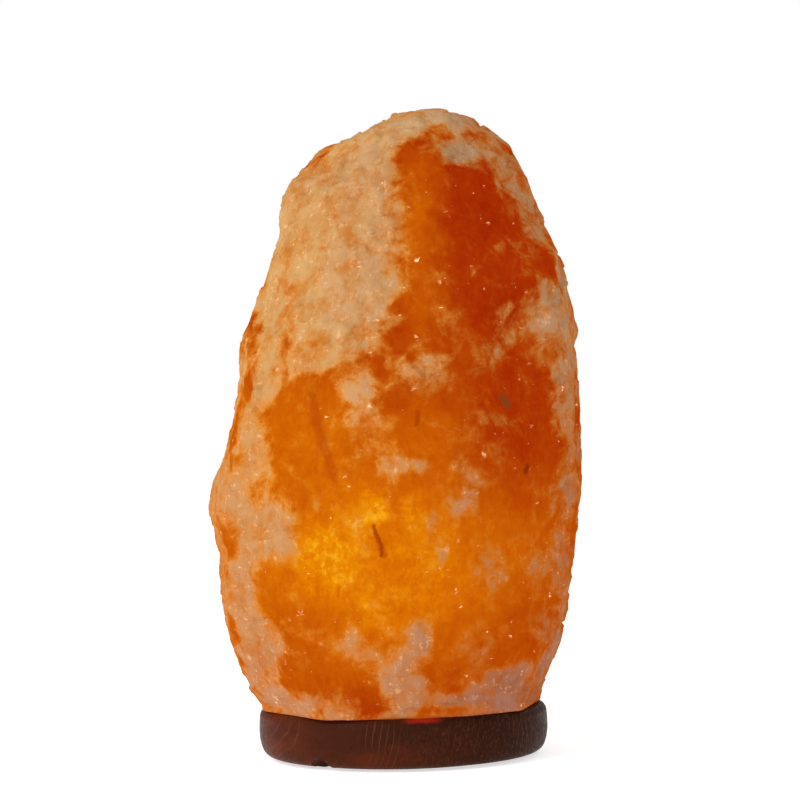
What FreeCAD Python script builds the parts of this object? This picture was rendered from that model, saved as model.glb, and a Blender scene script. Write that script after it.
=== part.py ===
"""Salt crystal lamp, in millimetres.

A hand-hewn lump of rock salt stands on a turned wooden disc. The lump is drilled from below, and a small
screw-in bulb stands in the hole in a lampholder that two spring wings hold by pressing on the disc's bore.
The cord would leave through a round-bottomed groove under the disc. The lampholder pulls out downwards to
change the bulb, and the bulb unscrews from it.

The frame is +Z up, the origin is on the table under the middle of the disc, and the side seen from the
front faces -Y. Every piece is one STEP file in parts/, named after the piece.
"""

import FreeCAD
import Part

import math
import os

V = FreeCAD.Vector

# ---- wooden disc and its felt ------------------------------------------------------------------------
DISC_DIAMETER = 127.0
DISC_THICKNESS = 21.0
DISC_BORE = 46.0
DISC_FOOT_DIAMETER = 114.0     # flat part of the underside
DISC_TOP_DIAMETER = 119.0      # flat part of the top
DISC_BELLY_HEIGHT = 11.0       # where the edge is widest, above the underside
FELT_THICKNESS = 1.0
FELT_OUTER = 102.0
FELT_INNER = 52.0
GROOVE_RADIUS = 5.0            # of the round-nosed cutter
GROOVE_DEPTH = 4.6
GROOVE_ANGLE = 234.0           # direction of the groove, degrees from +X

# ---- salt crystal ------------------------------------------------------------------------------------
CRYSTAL_HEIGHT = 262.0
CRYSTAL_BORE = 50.0
BORE_DEPTH = 101.0
BORE_DOME = 16.0               # height of the rounded end of the bore

# Each level of the lump: share of its height, then how far it reaches to the left, right, front and back.
LEVELS = [
    (0.000, 62.0, 61.5, 59.0, 59.0),
    (0.075, 73.5, 68.0, 65.5, 64.5),
    (0.165, 80.0, 74.5, 69.5, 68.0),
    (0.255, 81.0, 78.0, 71.0, 70.5),
    (0.351, 84.5, 82.0, 72.0, 72.0),
    (0.470, 75.0, 82.4, 70.5, 71.5),
    (0.565, 70.0, 82.0, 68.5, 69.5),
    (0.626, 67.8, 82.0, 66.0, 67.5),
    (0.718, 58.5, 77.5, 61.0, 63.5),
    (0.809, 50.9, 67.5, 53.5, 57.5),
    (0.870, 47.8, 62.3, 46.5, 51.0),
    (0.931, 32.9, 55.6, 36.0, 41.0),
    (0.962, 14.1, 46.0, 27.0, 32.0),
    (0.992, -2.0, 32.0, 15.0, 18.0),
    (1.000, -9.4, 16.3, 7.0, 9.0),
]
OUTLINE_DEPTH = 1.0            # of the cuts that shape the outline seen from the front and the back
SECTION_POWER = 2.2            # 2 gives oval levels, more gives squarer ones
SECTION_WAVES = 0.035          # unevenness of the levels, as a share of their size
OUTLINE_POINTS = 48            # points round each level
# Broad faces that were split off first: direction from +X and above the level in degrees, and depth in mm.
BROAD_CUTS = [
    (192.0, 11.0, 3.4),
    (184.0, -12.0, 2.6),
    (232.0, 4.0, 5.0),
    (262.0, -9.0, 2.6),
    (287.0, 7.0, 2.8),
    (318.0, -6.0, 4.4),
    (350.0, 3.0, 1.6),
    (22.0, -14.0, 3.0),
    (40.0, 18.0, 4.6),
    (84.0, 3.0, 3.6),
    (128.0, -5.0, 5.0),
    (150.0, 24.0, 4.0),
    (226.0, 38.0, 3.6),
    (300.0, 34.0, 3.2),
    (120.0, 50.0, 3.6),
]
FLATS_PER_LEVEL = 11           # small flats that the chisel left all round, at each level
FLAT_DEPTH = 1.3               # of those flats, on average
FLAT_UNEVENNESS = 0.9          # how much their depth varies
FLAT_TILT = 6.0                # how much their direction varies, in degrees
# Shell-shaped chips: share of the height where each lies, its direction from +X and above the level in
# degrees, the radius of the hollow and how deep it goes.
CHIPS = [
    (0.29, 249.0, -4.0, 110.0, 2.6),
    (0.59, 304.0, 4.0, 120.0, 2.8),
    (0.70, 213.0, 14.0, 90.0, 2.4),
    (0.40, 62.0, 0.0, 120.0, 3.0),
    (0.60, 141.0, 8.0, 110.0, 2.8),
]
# Shallow scoops that the chisel left all over the lump, by level. None lies on the left or right outline.
SCOOP_LEVELS = [1, 2, 3, 4, 5, 6, 8, 9, 11]
SCOOPS_PER_LEVEL = 8
SCOOP_RADIUS = 62.0
SCOOP_DEPTH = 2.1
SCOOP_UNEVENNESS = 0.3         # how much radius and depth vary, as a share
SCOOP_FREE_ANGLE = 20.0        # kept free each side of the outline, in degrees
# Shallow flutes across the lump, where larger pieces came away, in the same way.
FLUTES = [
    (0.480, 180.0, 13.0, 110.0, 3.8),
    (0.765, 180.0, 17.0, 65.0, 2.8),
    (0.560, 84.0, 4.0, 120.0, 3.0),
    (0.830, 318.0, 24.0, 90.0, 2.4),
]

# ---- fixing of the disc to the lump ------------------------------------------------------------------
SCREW_COUNT = 3
SCREW_CIRCLE = 88.0
SCREW_FROM_GROOVE = 60.0       # angle from the groove to the first screw
SCREW_DIAMETER = 4.5
SCREW_LENGTH = 44.0
SCREW_HEAD_DIAMETER = 8.6
SCREW_HEAD_HEIGHT = 3.0
SCREW_HEAD_SUNK = 1.5
SCREW_TIP = 5.0
SLOT_WIDTH = 1.2
SLOT_DEPTH = 1.2
CROSS_SHARE = 0.6              # width of the cross slot, as a share of the head
PLUG_DIAMETER = 9.0
PLUG_LENGTH = 30.0
PLUG_SLIT = 1.4
PLUG_SLIT_LENGTH = 18.0
FIT_GAP = 0.1                  # between fixed pieces that would touch on round faces

# ---- lampholder --------------------------------------------------------------------------------------
HOLDER_BOTTOM = 10.0           # above the table
HOLDER_DIAMETER = 28.0
CAP_HEIGHT = 18.0
CAP_WALL = 2.0
CAP_ROUNDING = 4.0
SPIGOT_HEIGHT = 3.0
SPIGOT_WALL = 2.0
SLEEVE_LENGTH = 30.0
SLEEVE_BORE = 23.2
SLEEVE_LIP = 7.0               # height of the narrow mouth at the top
SLEEVE_MOUTH = 17.6
SLEEVE_ROUNDING = 1.5
FLAT_HALF_WIDTH = 4.05         # of the flats that the wings' feet lie on
INSERT_DISC = 6.0
COLLAR_DIAMETER = 19.0
BUSH_BORE = 7.0
BUSH_WALL = 1.4
BUSH_FLANGE = 1.4
BUSH_FLANGE_HEIGHT = 1.2

# ---- contacts ----------------------------------------------------------------------------------------
STRIP_THICKNESS = 0.5
CONTACT_WIDTH = 4.0
CONTACT_LEG = 8.95             # distance of the upright legs from the axis
CONTACT_PAD = 5.5              # length of the terminal pads under the insert
CONTACT_RECESS = 1.2
STRIP_BEND = 0.45              # radius of the contacts' bends
TONGUE_FOOT = 5.0              # where the centre contact starts to rise, from the axis
TONGUE_TIP = 1.8               # half the length of its flat tip
SIDE_CONTACT_END = 6.3         # inner end of the side contact, from the axis
TERMINAL_SCREW_DIAMETER = 3.0
TERMINAL_SCREW_LENGTH = 4.5
TERMINAL_HEAD_DIAMETER = 4.4
TERMINAL_HEAD_HEIGHT = 1.6
TERMINAL_HOLE_SPARE = 1.0      # how much deeper the hole is than the screw
SHELL_WALL = 0.4
SHELL_NOTCH_WIDTH = 5.5        # of the gap over the centre contact
SHELL_NOTCH_HEIGHT = 0.8

# ---- spring wings ------------------------------------------------------------------------------------
WING_WIDTH = 8.0
WING_ROOT_BELOW_MOUTH = 2.5    # pivot of the wing below the top of the sleeve
WING_ROOT_OUT = 3.2            # pivot of the wing out from the flat
WING_CLEARANCE = 0.3           # between the knee and the bore
WING_KNEE_HEIGHT = 14.0        # above the table
WING_TAB_HEIGHT = 6.0          # lowest point, above the table
WING_TAB_IN = 3.4              # how far the finger tab leans in from the knee
WING_BEND = 1.6
WING_CREST = 1.4               # top of the strip's upper bend above the pivot
WING_SPLIT = 0.3               # where the foot ends, short of the pivot
WING_SHOULDER_OUT = 1.3        # from the pivot to where the wing turns down
WING_SHOULDER_DROP = 1.2
FOOT_LENGTH = 12.0
FOOT_BEND = 0.9
RIVET_DIAMETER = 2.6
RIVET_HEAD_DIAMETER = 4.6
RIVET_HEAD_HEIGHT = 0.7
RIVET_BELOW_PIVOT = 8.0
RIVET_ROUNDING = 0.6           # of the outer head, as a share of its height
PEEN_SHARE = 0.7               # size of the inner head, as a share of the shank's diameter

# ---- bulb --------------------------------------------------------------------------------------------
BULB_DIAMETER = 26.0
BULB_LENGTH = 60.0             # from the tip contact to the top of the glass
BELLY_DROP = 1.5               # of the widest place below the middle of a round dome
BULB_NECK_DIAMETER = 13.8
NECK_LENGTH = 5.0              # straight part of the neck
GLASS_WALL = 0.8
THREAD_DIAMETER = 14.0         # size of the screw cap over its thread
THREAD_CLEARANCE = 0.25        # of the cap in the threaded shell, all round
CAP_SHELL_LENGTH = 20.5
CAP_SHELL_WALL = 0.35
CAP_FLARE_DIAMETER = 15.6
CAP_FLARE_HEIGHT = 2.5
NECK_IN_FLARE = 1.5            # how far the glass neck reaches down inside the flared rim
CAP_CRIMP_DIAMETER = 10.0      # lower end of the screw cap, crimped on the insulator
CAP_SHOULDER = 1.8             # height of its rounded lower end
TIP_DIAMETER = 4.4
TIP_HEIGHT = 1.4
TIP_ROUND_SHARE = 0.6          # rounded part of the tip's height
INSULATOR_HEIGHT = 2.2
INSULATOR_FACE = 0.4           # width of its flat face round the tip
STEM_HEIGHT = 13.0             # from the foot of the neck to the top of the press
STEM_DIAMETER = 4.4
STEM_RIM = 1.0                 # thickness of the flare where it meets the neck
STEM_FLARE = 1.5               # height of the flare's inner foot
STEM_PRESS = 5.0               # solid part at the top
EXHAUST_BORE = 1.6
WIRE_DIAMETER = 0.5
WIRE_BEND = 0.8
WIRE_UPRIGHT = 2.0             # upright part at each end of a lead wire
FILAMENT_SPAN = 13.0           # between the two hooks
FILAMENT_RISE = 10.0           # of the hooks above the press
FILAMENT_ARCH = 3.0
FILAMENT_DIAMETER = 0.7

# ---- worked out --------------------------------------------------------------------------------------
DISC_TOP = FELT_THICKNESS + DISC_THICKNESS
CRYSTAL_BOTTOM = DISC_TOP
BORE_TOP = CRYSTAL_BOTTOM + BORE_DEPTH
HOLDER_RADIUS = HOLDER_DIAMETER / 2
CAP_TOP = HOLDER_BOTTOM + CAP_HEIGHT
SLEEVE_TOP = CAP_TOP + SLEEVE_LENGTH
LIP_BOTTOM = SLEEVE_TOP - SLEEVE_LIP
SPIGOT_TOP = CAP_TOP + SPIGOT_HEIGHT
INSERT_TOP = SPIGOT_TOP + INSERT_DISC
INSERT_RADIUS = SLEEVE_BORE / 2 - FIT_GAP
SHELL_OUTER = THREAD_DIAMETER / 2 + THREAD_CLEARANCE + SHELL_WALL
FLAT_OUT = math.sqrt(HOLDER_RADIUS ** 2 - FLAT_HALF_WIDTH ** 2)
CONTACT_TOP = INSERT_TOP + 1.0
BULB_TIP = CONTACT_TOP + FIT_GAP
BULB_TOP = BULB_TIP + BULB_LENGTH
INSULATOR_BOTTOM = BULB_TIP + TIP_HEIGHT / 2
CAP_SHELL_BOTTOM = INSULATOR_BOTTOM + INSULATOR_HEIGHT / 2
CAP_SHELL_TOP = CAP_SHELL_BOTTOM + CAP_SHELL_LENGTH
NECK_BOTTOM = CAP_SHELL_TOP - NECK_IN_FLARE
STEM_TOP = NECK_BOTTOM + STEM_HEIGHT
HOOK_HEIGHT = STEM_TOP + FILAMENT_RISE


def save(name, shape):
    """Writes one piece, and prints its size so that a wrong one shows."""
    box = shape.BoundBox
    print("%-24s %d solid(s)  %6.1f x %6.1f x %6.1f  valid %s" % (
        name, len(shape.Solids), box.XLength, box.YLength, box.ZLength, shape.isValid()))
    shape.exportStep(os.path.join("parts", name + ".step"))


def cylinder(radius, bottom, top):
    """An upright cylinder on the axis."""
    return Part.makeCylinder(radius, top - bottom, V(0, 0, bottom))


def tube(outer, inner, bottom, top):
    """An upright ring on the axis."""
    return cylinder(outer, bottom, top).cut(cylinder(inner, bottom - 1, top + 1))


def turned(edges):
    """Turns a closed outline of edges in the XZ plane about the axis."""
    face = Part.Face(Part.Wire(Part.__sortEdges__(edges)))
    return face.revolve(V(0, 0, 0), V(0, 0, 1), 360)


def line(a, b):
    """A straight edge between two (radius, height) points."""
    return Part.makeLine(V(a[0], 0, a[1]), V(b[0], 0, b[1]))


def arc(a, middle, b):
    """A round edge through three (radius, height) points."""
    return Part.Arc(V(a[0], 0, a[1]), V(middle[0], 0, middle[1]), V(b[0], 0, b[1])).toShape()


def lines(points):
    """Straight edges through (radius, height) points."""
    return [line(a, b) for a, b in zip(points, points[1:])]


def arc_leaving(start, towards, end):
    """The round edge that leaves a (radius, height) point in a direction and ends at another point."""
    first, last = V(start[0], 0, start[1]), V(end[0], 0, end[1])
    set_off = V(towards[0], 0, towards[1]).normalize()
    chord = last - first
    forward = set_off.dot(chord) / chord.Length
    side = set_off - chord * (forward / chord.Length)
    middle = first + chord / 2 + side * (chord.Length / 2 / (1 + forward))
    return Part.Arc(first, middle, last).toShape()


def quarter_bend(start, corner, end):
    """Two round edges that turn a right angle from start to end, with tangents that meet at corner."""
    out, back = [c - s for s, c in zip(start, corner)], [c - e for e, c in zip(end, corner)]
    long, short = math.hypot(*out), math.hypot(*back)
    reach = (math.sqrt((long + short) ** 2 + 2 * (long ** 2 + short ** 2)) - long - short) / 2
    meet = [(s + o / long * reach + e + b / short * reach) / 2 for s, o, e, b in zip(start, out, end, back)]
    return [arc_leaving(start, out, meet), arc_leaving(end, back, meet)]


def double_bend(start, end):
    """Two round edges that lead from one upright direction to another, set off to the side."""
    middle = [(s + e) / 2 for s, e in zip(start, end)]
    return [arc_leaving(start, (0, 1), middle), arc_leaving(end, (0, -1), middle)]


def rounded_path(points, radius):
    """A path of straight runs in the XZ plane whose corners are arcs of one radius."""
    corners = [V(x, 0, z) for x, z in points]
    edges = []
    at = corners[0]
    for before, corner, after in zip(corners, corners[1:], corners[2:]):
        back = (before - corner).normalize()
        on = (after - corner).normalize()
        half = math.acos(max(-1.0, min(1.0, back.dot(on)))) / 2
        reach = radius / math.tan(half)
        bisector = (back + on).normalize()
        centre = corner + bisector * (radius / math.sin(half))
        first = corner + back * reach
        last = corner + on * reach
        edges.append(Part.makeLine(at, first))
        edges.append(Part.Arc(first, centre - bisector * radius, last).toShape())
        at = last
    edges.append(Part.makeLine(at, corners[-1]))
    return Part.Wire(edges)


def bent_strip(points, bend, width, thickness):
    """A strip of sheet metal that follows a path in the XZ plane, with its width along Y."""
    path = rounded_path(points, bend)
    start = V(points[0][0], 0, points[0][1])
    along = V(points[1][0] - points[0][0], 0, points[1][1] - points[0][1]).normalize()
    across = V(-along.z, 0, along.x) * (thickness / 2)
    side = V(0, width / 2, 0)
    corners = [start + across + side, start - across + side, start - across - side, start + across - side]
    section = Part.Wire([Part.makeLine(a, b) for a, b in zip(corners, corners[1:] + corners[:1])])
    pipe = Part.BRepOffsetAPI.MakePipeShell(path)
    pipe.setFrenetMode(True)
    pipe.add(section)
    pipe.build()
    pipe.makeSolid()
    return pipe.shape()


def round_wire(points, bend, diameter):
    """A round wire that follows a path in the XZ plane."""
    path = rounded_path(points, bend) if len(points) > 2 else Part.Wire(lines(points))
    start = V(points[0][0], 0, points[0][1])
    along = V(points[1][0] - points[0][0], 0, points[1][1] - points[0][1])
    section = Part.Face(Part.Wire([Part.makeCircle(diameter / 2, start, along)]))
    return path.makePipe(section)


def around(shape, angles):
    """Copies of a shape turned about the axis."""
    copies = []
    for angle in angles:
        turned_copy = shape.copy()
        turned_copy.rotate(V(0, 0, 0), V(0, 0, 1), angle)
        copies.append(turned_copy)
    return copies


def mirrored(shape):
    """The same shape on the other side, where a left piece matches a right one."""
    return shape.mirror(V(0, 0, 0), V(1, 0, 0))


# ---- salt crystal ------------------------------------------------------------------------------------
def level_points(share, left, right, front, back):
    """Points round one level: an uneven, rather square oval, fitted to how far it reaches each way."""
    points = []
    for step in range(OUTLINE_POINTS):
        angle = 2 * math.pi * step / OUTLINE_POINTS
        waves = math.sin(3 * angle + 7 * share) + math.sin(5 * angle - 11 * share)
        size = 1 + SECTION_WAVES * waves / 2
        cosine, sine = math.cos(angle), math.sin(angle)
        points.append((math.copysign(abs(cosine) ** (2 / SECTION_POWER), cosine) * size,
                       math.copysign(abs(sine) ** (2 / SECTION_POWER), sine) * size))
    east, west = max(x for x, y in points), min(x for x, y in points)
    north, south = max(y for x, y in points), min(y for x, y in points)
    height = CRYSTAL_BOTTOM + share * CRYSTAL_HEIGHT
    return [V(-left + (x - west) / (east - west) * (left + right),
              -front + (y - south) / (north - south) * (front + back), height) for x, y in points]


def outward(direction, rise):
    """The unit vector in a direction given in degrees from +X and above the level."""
    turn, tilt = math.radians(direction), math.radians(rise)
    return V(math.cos(turn) * math.cos(tilt), math.sin(turn) * math.cos(tilt), math.sin(tilt))


def split_off(lump, form, direction, depth):
    """Takes off all that lies beyond a plane, which is so deep in from the form's furthest point."""
    furthest = max(point.dot(direction) for level in form for point in level)
    size = 4 * CRYSTAL_HEIGHT
    block = Part.makeBox(size, size, size, V(-size / 2, -size / 2, 0))
    turn = FreeCAD.Rotation(V(0, 0, 1), direction)
    block.Placement = FreeCAD.Placement(direction * (furthest - depth), turn)
    return lump.cut(block)


def level_size(level):
    """Width of a level as a share of the widest, so that cuts near the top take off less."""
    return (level[1] + level[2]) / max(left + right for share, left, right, front, back in LEVELS)


def places_round(per_level, level):
    """Uneven places round a level: the number of each, and the outline point where it lies."""
    for step in range(per_level):
        number = level * per_level + step
        share = (step + 0.5 * (level % 2) + 0.2 * math.sin(5.1 * number)) / per_level
        yield number, round(share * OUTLINE_POINTS) % OUTLINE_POINTS


def square_to(form, level, here):
    """The unit vector that points straight out of the form at an outline point."""
    before, after = form[level][here - 2], form[level][(here + 2) % OUTLINE_POINTS]
    return (after - before).cross(form[level + 1][here] - form[level - 1][here]).normalize()


def flats(form):
    """Direction and depth of the small flats, square to the form at places spread all over it."""
    for level in range(1, len(form) - 1):
        for number, here in places_round(FLATS_PER_LEVEL, level):
            square = square_to(form, level, here)
            turn = math.degrees(math.atan2(square.y, square.x)) + FLAT_TILT * math.sin(2.7 * number)
            rise = math.degrees(math.asin(square.z)) + FLAT_TILT * math.sin(3.9 * number)
            depth = FLAT_DEPTH + FLAT_UNEVENNESS * math.sin(1.9 * number)
            yield outward(turn, rise), depth * level_size(LEVELS[level])


def outline_flats():
    """Direction and depth of the flats along the left and right outline, one between each two levels."""
    for lower, upper in zip(LEVELS, LEVELS[1:]):
        for direction, side in ((180, 1), (0, 2)):
            rise = math.atan2(lower[side] - upper[side], (upper[0] - lower[0]) * CRYSTAL_HEIGHT)
            yield outward(direction, math.degrees(rise)), OUTLINE_DEPTH * level_size(upper)


def hollow_cutter(lump, share, direction, rise, radius, depth, level_bar):
    """A ball, or a level bar, that hollows the surface where a level line from the axis leaves the lump."""
    middle = V(0, 0, CRYSTAL_BOTTOM + share * CRYSTAL_HEIGHT)
    ray = Part.makeLine(middle, middle + outward(direction, 0) * CRYSTAL_HEIGHT)
    surface = max((vertex.Point for vertex in ray.common(lump).Vertexes), key=middle.distanceToPoint)
    centre = surface + outward(direction, rise) * (radius - depth)
    if not level_bar:
        return Part.makeSphere(radius, centre)
    along = outward(direction + 90, 0)
    return Part.makeCylinder(radius, CRYSTAL_HEIGHT, centre - along * (CRYSTAL_HEIGHT / 2), along)


def scoop_cutters(lump, form):
    """Balls that scoop the surface out, square to the form at places spread all over it."""
    for level in SCOOP_LEVELS:
        for number, here in places_round(SCOOPS_PER_LEVEL, level):
            point, square = form[level][here], square_to(form, level, here)
            from_outline = math.degrees(math.atan2(abs(square.y), abs(square.x)))
            if from_outline < SCOOP_FREE_ANGLE:
                continue
            reach = square * (CRYSTAL_BORE / 2)
            hits = Part.makeLine(point + reach, point - reach).common(lump).Vertexes
            surface = max((vertex.Point for vertex in hits), key=square.dot)
            radius = SCOOP_RADIUS * (1 + SCOOP_UNEVENNESS * math.sin(2.3 * number))
            depth = SCOOP_DEPTH * level_size(LEVELS[level])
            depth *= 1 + SCOOP_UNEVENNESS * math.sin(3.1 * number)
            yield Part.makeSphere(radius, surface + square * (radius - depth))


def salt_crystal():
    form = [level_points(*level) for level in LEVELS]
    size = CRYSTAL_HEIGHT
    lump = Part.makeBox(size, size, size, V(-size / 2, -size / 2, CRYSTAL_BOTTOM))
    for direction, rise, depth in BROAD_CUTS:
        lump = split_off(lump, form, outward(direction, rise), depth)
    for direction, depth in list(outline_flats()) + list(flats(form)):
        lump = split_off(lump, form, direction, depth)
    for flute in FLUTES:
        lump = lump.cut(hollow_cutter(lump, *flute, level_bar=True))
    for chip in CHIPS:
        lump = lump.cut(hollow_cutter(lump, *chip, level_bar=False))
    for scoop in list(scoop_cutters(lump, form)):
        lump = lump.cut(scoop)
    lump = lump.cut(bore_cutter())
    for plug_hole in around(plug_at_angle_zero(0.0, solid=True), screw_angles()):
        lump = lump.cut(plug_hole)
    return lump


def bore_cutter():
    """The drilled hole with its rounded end."""
    radius = CRYSTAL_BORE / 2
    shoulder = BORE_TOP - BORE_DOME
    below = CRYSTAL_BOTTOM - 1
    wall = lines([(0, BORE_TOP), (0, below), (radius, below), (radius, shoulder)])
    dome = quarter_bend((radius, shoulder), (radius, BORE_TOP), (0, BORE_TOP))
    return turned(wall + dome)


# ---- wooden disc, felt, screws and plugs -------------------------------------------------------------
def screw_angles():
    """Directions of the screws, which keep clear of the groove."""
    return [GROOVE_ANGLE + SCREW_FROM_GROOVE + 360.0 * n / SCREW_COUNT for n in range(SCREW_COUNT)]


def groove_cutter(bottom):
    """The round-topped channel for the cord, from inside the bore to past the edge."""
    centre = FELT_THICKNESS + GROOVE_DEPTH - GROOVE_RADIUS
    length = DISC_DIAMETER / 2 + 5
    channel = Part.makeCylinder(GROOVE_RADIUS, length, V(0, 0, centre), V(1, 0, 0))
    below = Part.makeBox(length, 2 * GROOVE_RADIUS, centre - bottom, V(0, -GROOVE_RADIUS, bottom))
    cutter = channel.fuse(below) if centre > bottom else channel
    return around(cutter, [GROOVE_ANGLE])[0]


def wooden_disc():
    bottom, top = FELT_THICKNESS, DISC_TOP
    bore, foot, rim, crown = DISC_BORE / 2, DISC_FOOT_DIAMETER / 2, DISC_DIAMETER / 2, DISC_TOP_DIAMETER / 2
    belly = bottom + DISC_BELLY_HEIGHT
    edges = lines([(foot, bottom), (bore, bottom), (bore, top), (crown, top)])
    edges += quarter_bend((foot, bottom), (rim, bottom), (rim, belly))
    edges += quarter_bend((rim, belly), (rim, top), (crown, top))
    disc = turned(edges)
    disc = disc.cut(groove_cutter(0))
    hole = cylinder(SCREW_DIAMETER / 2 + FIT_GAP, bottom - 1, top + 1)
    recess = cylinder(SCREW_HEAD_DIAMETER / 2 + FIT_GAP, bottom - 1, bottom + SCREW_HEAD_SUNK)
    sink = Part.makeCone(SCREW_HEAD_DIAMETER / 2 + FIT_GAP, SCREW_DIAMETER / 2 + FIT_GAP,
                         SCREW_HEAD_HEIGHT + FIT_GAP, V(0, 0, bottom + SCREW_HEAD_SUNK))
    cutter = hole.fuse([recess, sink])
    cutter.translate(V(SCREW_CIRCLE / 2, 0, 0))
    for one in around(cutter, screw_angles()):
        disc = disc.cut(one)
    return disc


def felt_pad():
    pad = tube(FELT_OUTER / 2, FELT_INNER / 2, 0, FELT_THICKNESS)
    gap = Part.makeBox(DISC_DIAMETER, 2 * GROOVE_RADIUS, FELT_THICKNESS + 2, V(0, -GROOVE_RADIUS, -1))
    return pad.cut(around(gap, [GROOVE_ANGLE])[0])


def base_screws():
    """Countersunk wood screws that hold the disc on the lump."""
    head = FELT_THICKNESS + SCREW_HEAD_SUNK
    neck = head + SCREW_HEAD_HEIGHT
    end = head + SCREW_LENGTH
    radius = SCREW_DIAMETER / 2
    screw = turned(lines([(0, head), (SCREW_HEAD_DIAMETER / 2, head), (radius, neck),
                          (radius, end - SCREW_TIP), (0, end), (0, head)]))
    for turn in (0, 90):
        slot = Part.makeBox(SCREW_HEAD_DIAMETER * CROSS_SHARE, SLOT_WIDTH, 2 * SLOT_DEPTH)
        slot.translate(V(-SCREW_HEAD_DIAMETER * CROSS_SHARE / 2, -SLOT_WIDTH / 2, head - SLOT_DEPTH))
        slot.rotate(V(0, 0, 0), V(0, 0, 1), turn)
        screw = screw.cut(slot)
    screw.translate(V(SCREW_CIRCLE / 2, 0, 0))
    return Part.makeCompound(around(screw, screw_angles()))


def plug_at_angle_zero(gap, solid=False):
    """A plastic wall plug in the salt on the screw circle, or the plain hole that it sits in."""
    bottom, top = CRYSTAL_BOTTOM, CRYSTAL_BOTTOM + PLUG_LENGTH
    radius = PLUG_DIAMETER / 2 - gap
    plug = cylinder(radius, bottom - (1 if solid else 0), top)
    if not solid:
        screw_end = FELT_THICKNESS + SCREW_HEAD_SUNK + SCREW_LENGTH
        plug = plug.cut(cylinder(SCREW_DIAMETER / 2 + FIT_GAP, bottom - 1, min(screw_end, top - 1)))
        slit = Part.makeBox(2 * radius + 2, PLUG_SLIT, PLUG_SLIT_LENGTH)
        slit.translate(V(-radius - 1, -PLUG_SLIT / 2, top - PLUG_SLIT_LENGTH))
        plug = plug.cut(slit)
    plug.translate(V(SCREW_CIRCLE / 2, 0, 0))
    return plug


def screw_plugs():
    return Part.makeCompound(around(plug_at_angle_zero(FIT_GAP), screw_angles()))


# ---- lampholder --------------------------------------------------------------------------------------
def holder_cap():
    """The round-bottomed cap with its spigot and the hole for the cord's bush."""
    outer, inner = HOLDER_RADIUS, HOLDER_RADIUS - CAP_WALL
    spigot = INSERT_RADIUS
    floor = HOLDER_BOTTOM + CAP_WALL
    hole = BUSH_BORE / 2 + BUSH_WALL
    soft = CAP_ROUNDING
    edges = lines([(hole, HOLDER_BOTTOM), (outer - soft, HOLDER_BOTTOM)])
    low = HOLDER_BOTTOM
    edges += quarter_bend((outer - soft, low), (outer, low), (outer, low + soft))
    edges += lines([(outer, low + soft), (outer, CAP_TOP), (spigot, CAP_TOP), (spigot, SPIGOT_TOP),
                    (spigot - SPIGOT_WALL, SPIGOT_TOP), (spigot - SPIGOT_WALL, CAP_TOP - CAP_WALL),
                    (inner, CAP_TOP - 2 * CAP_WALL), (inner, floor + soft)])
    edges += quarter_bend((inner, floor + soft), (inner, floor), (inner - soft, floor))
    edges += lines([(inner - soft, floor), (hole, floor), (hole, HOLDER_BOTTOM)])
    return turned(edges)


def entry_bush():
    """The flanged rubber bush that the cord passes through."""
    bore, body = BUSH_BORE / 2, BUSH_BORE / 2 + BUSH_WALL - FIT_GAP / 2
    flange = BUSH_BORE / 2 + BUSH_WALL + BUSH_FLANGE
    floor = HOLDER_BOTTOM + CAP_WALL
    low = HOLDER_BOTTOM - BUSH_FLANGE_HEIGHT
    high = floor + BUSH_FLANGE_HEIGHT
    return turned(lines([(bore, low), (flange, low), (flange, HOLDER_BOTTOM), (body, HOLDER_BOTTOM),
                         (body, floor), (flange, floor), (flange, high), (bore, high), (bore, low)]))


def holder_sleeve():
    """The outer sleeve with its narrow mouth, two flats for the wings' feet and the rivet holes."""
    outer, inner, mouth = HOLDER_RADIUS, SLEEVE_BORE / 2, SLEEVE_MOUTH / 2
    soft = SLEEVE_ROUNDING
    edges = lines([(inner, CAP_TOP), (outer, CAP_TOP), (outer, SLEEVE_TOP - soft)])
    edges += quarter_bend((outer, SLEEVE_TOP - soft), (outer, SLEEVE_TOP), (outer - soft, SLEEVE_TOP))
    edges += lines([(outer - soft, SLEEVE_TOP), (mouth, SLEEVE_TOP), (mouth, LIP_BOTTOM),
                    (inner, LIP_BOTTOM), (inner, CAP_TOP)])
    sleeve = turned(edges)
    for side in (0, 180):
        waste = Part.makeBox(HOLDER_RADIUS, HOLDER_DIAMETER, SLEEVE_LENGTH + 1,
                             V(FLAT_OUT, -HOLDER_RADIUS, SLEEVE_TOP - wing_foot_span() - 1))
        for cutter in around(waste.fuse(rivet_hole()), [side]):
            sleeve = sleeve.cut(cutter)
    return sleeve


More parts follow.
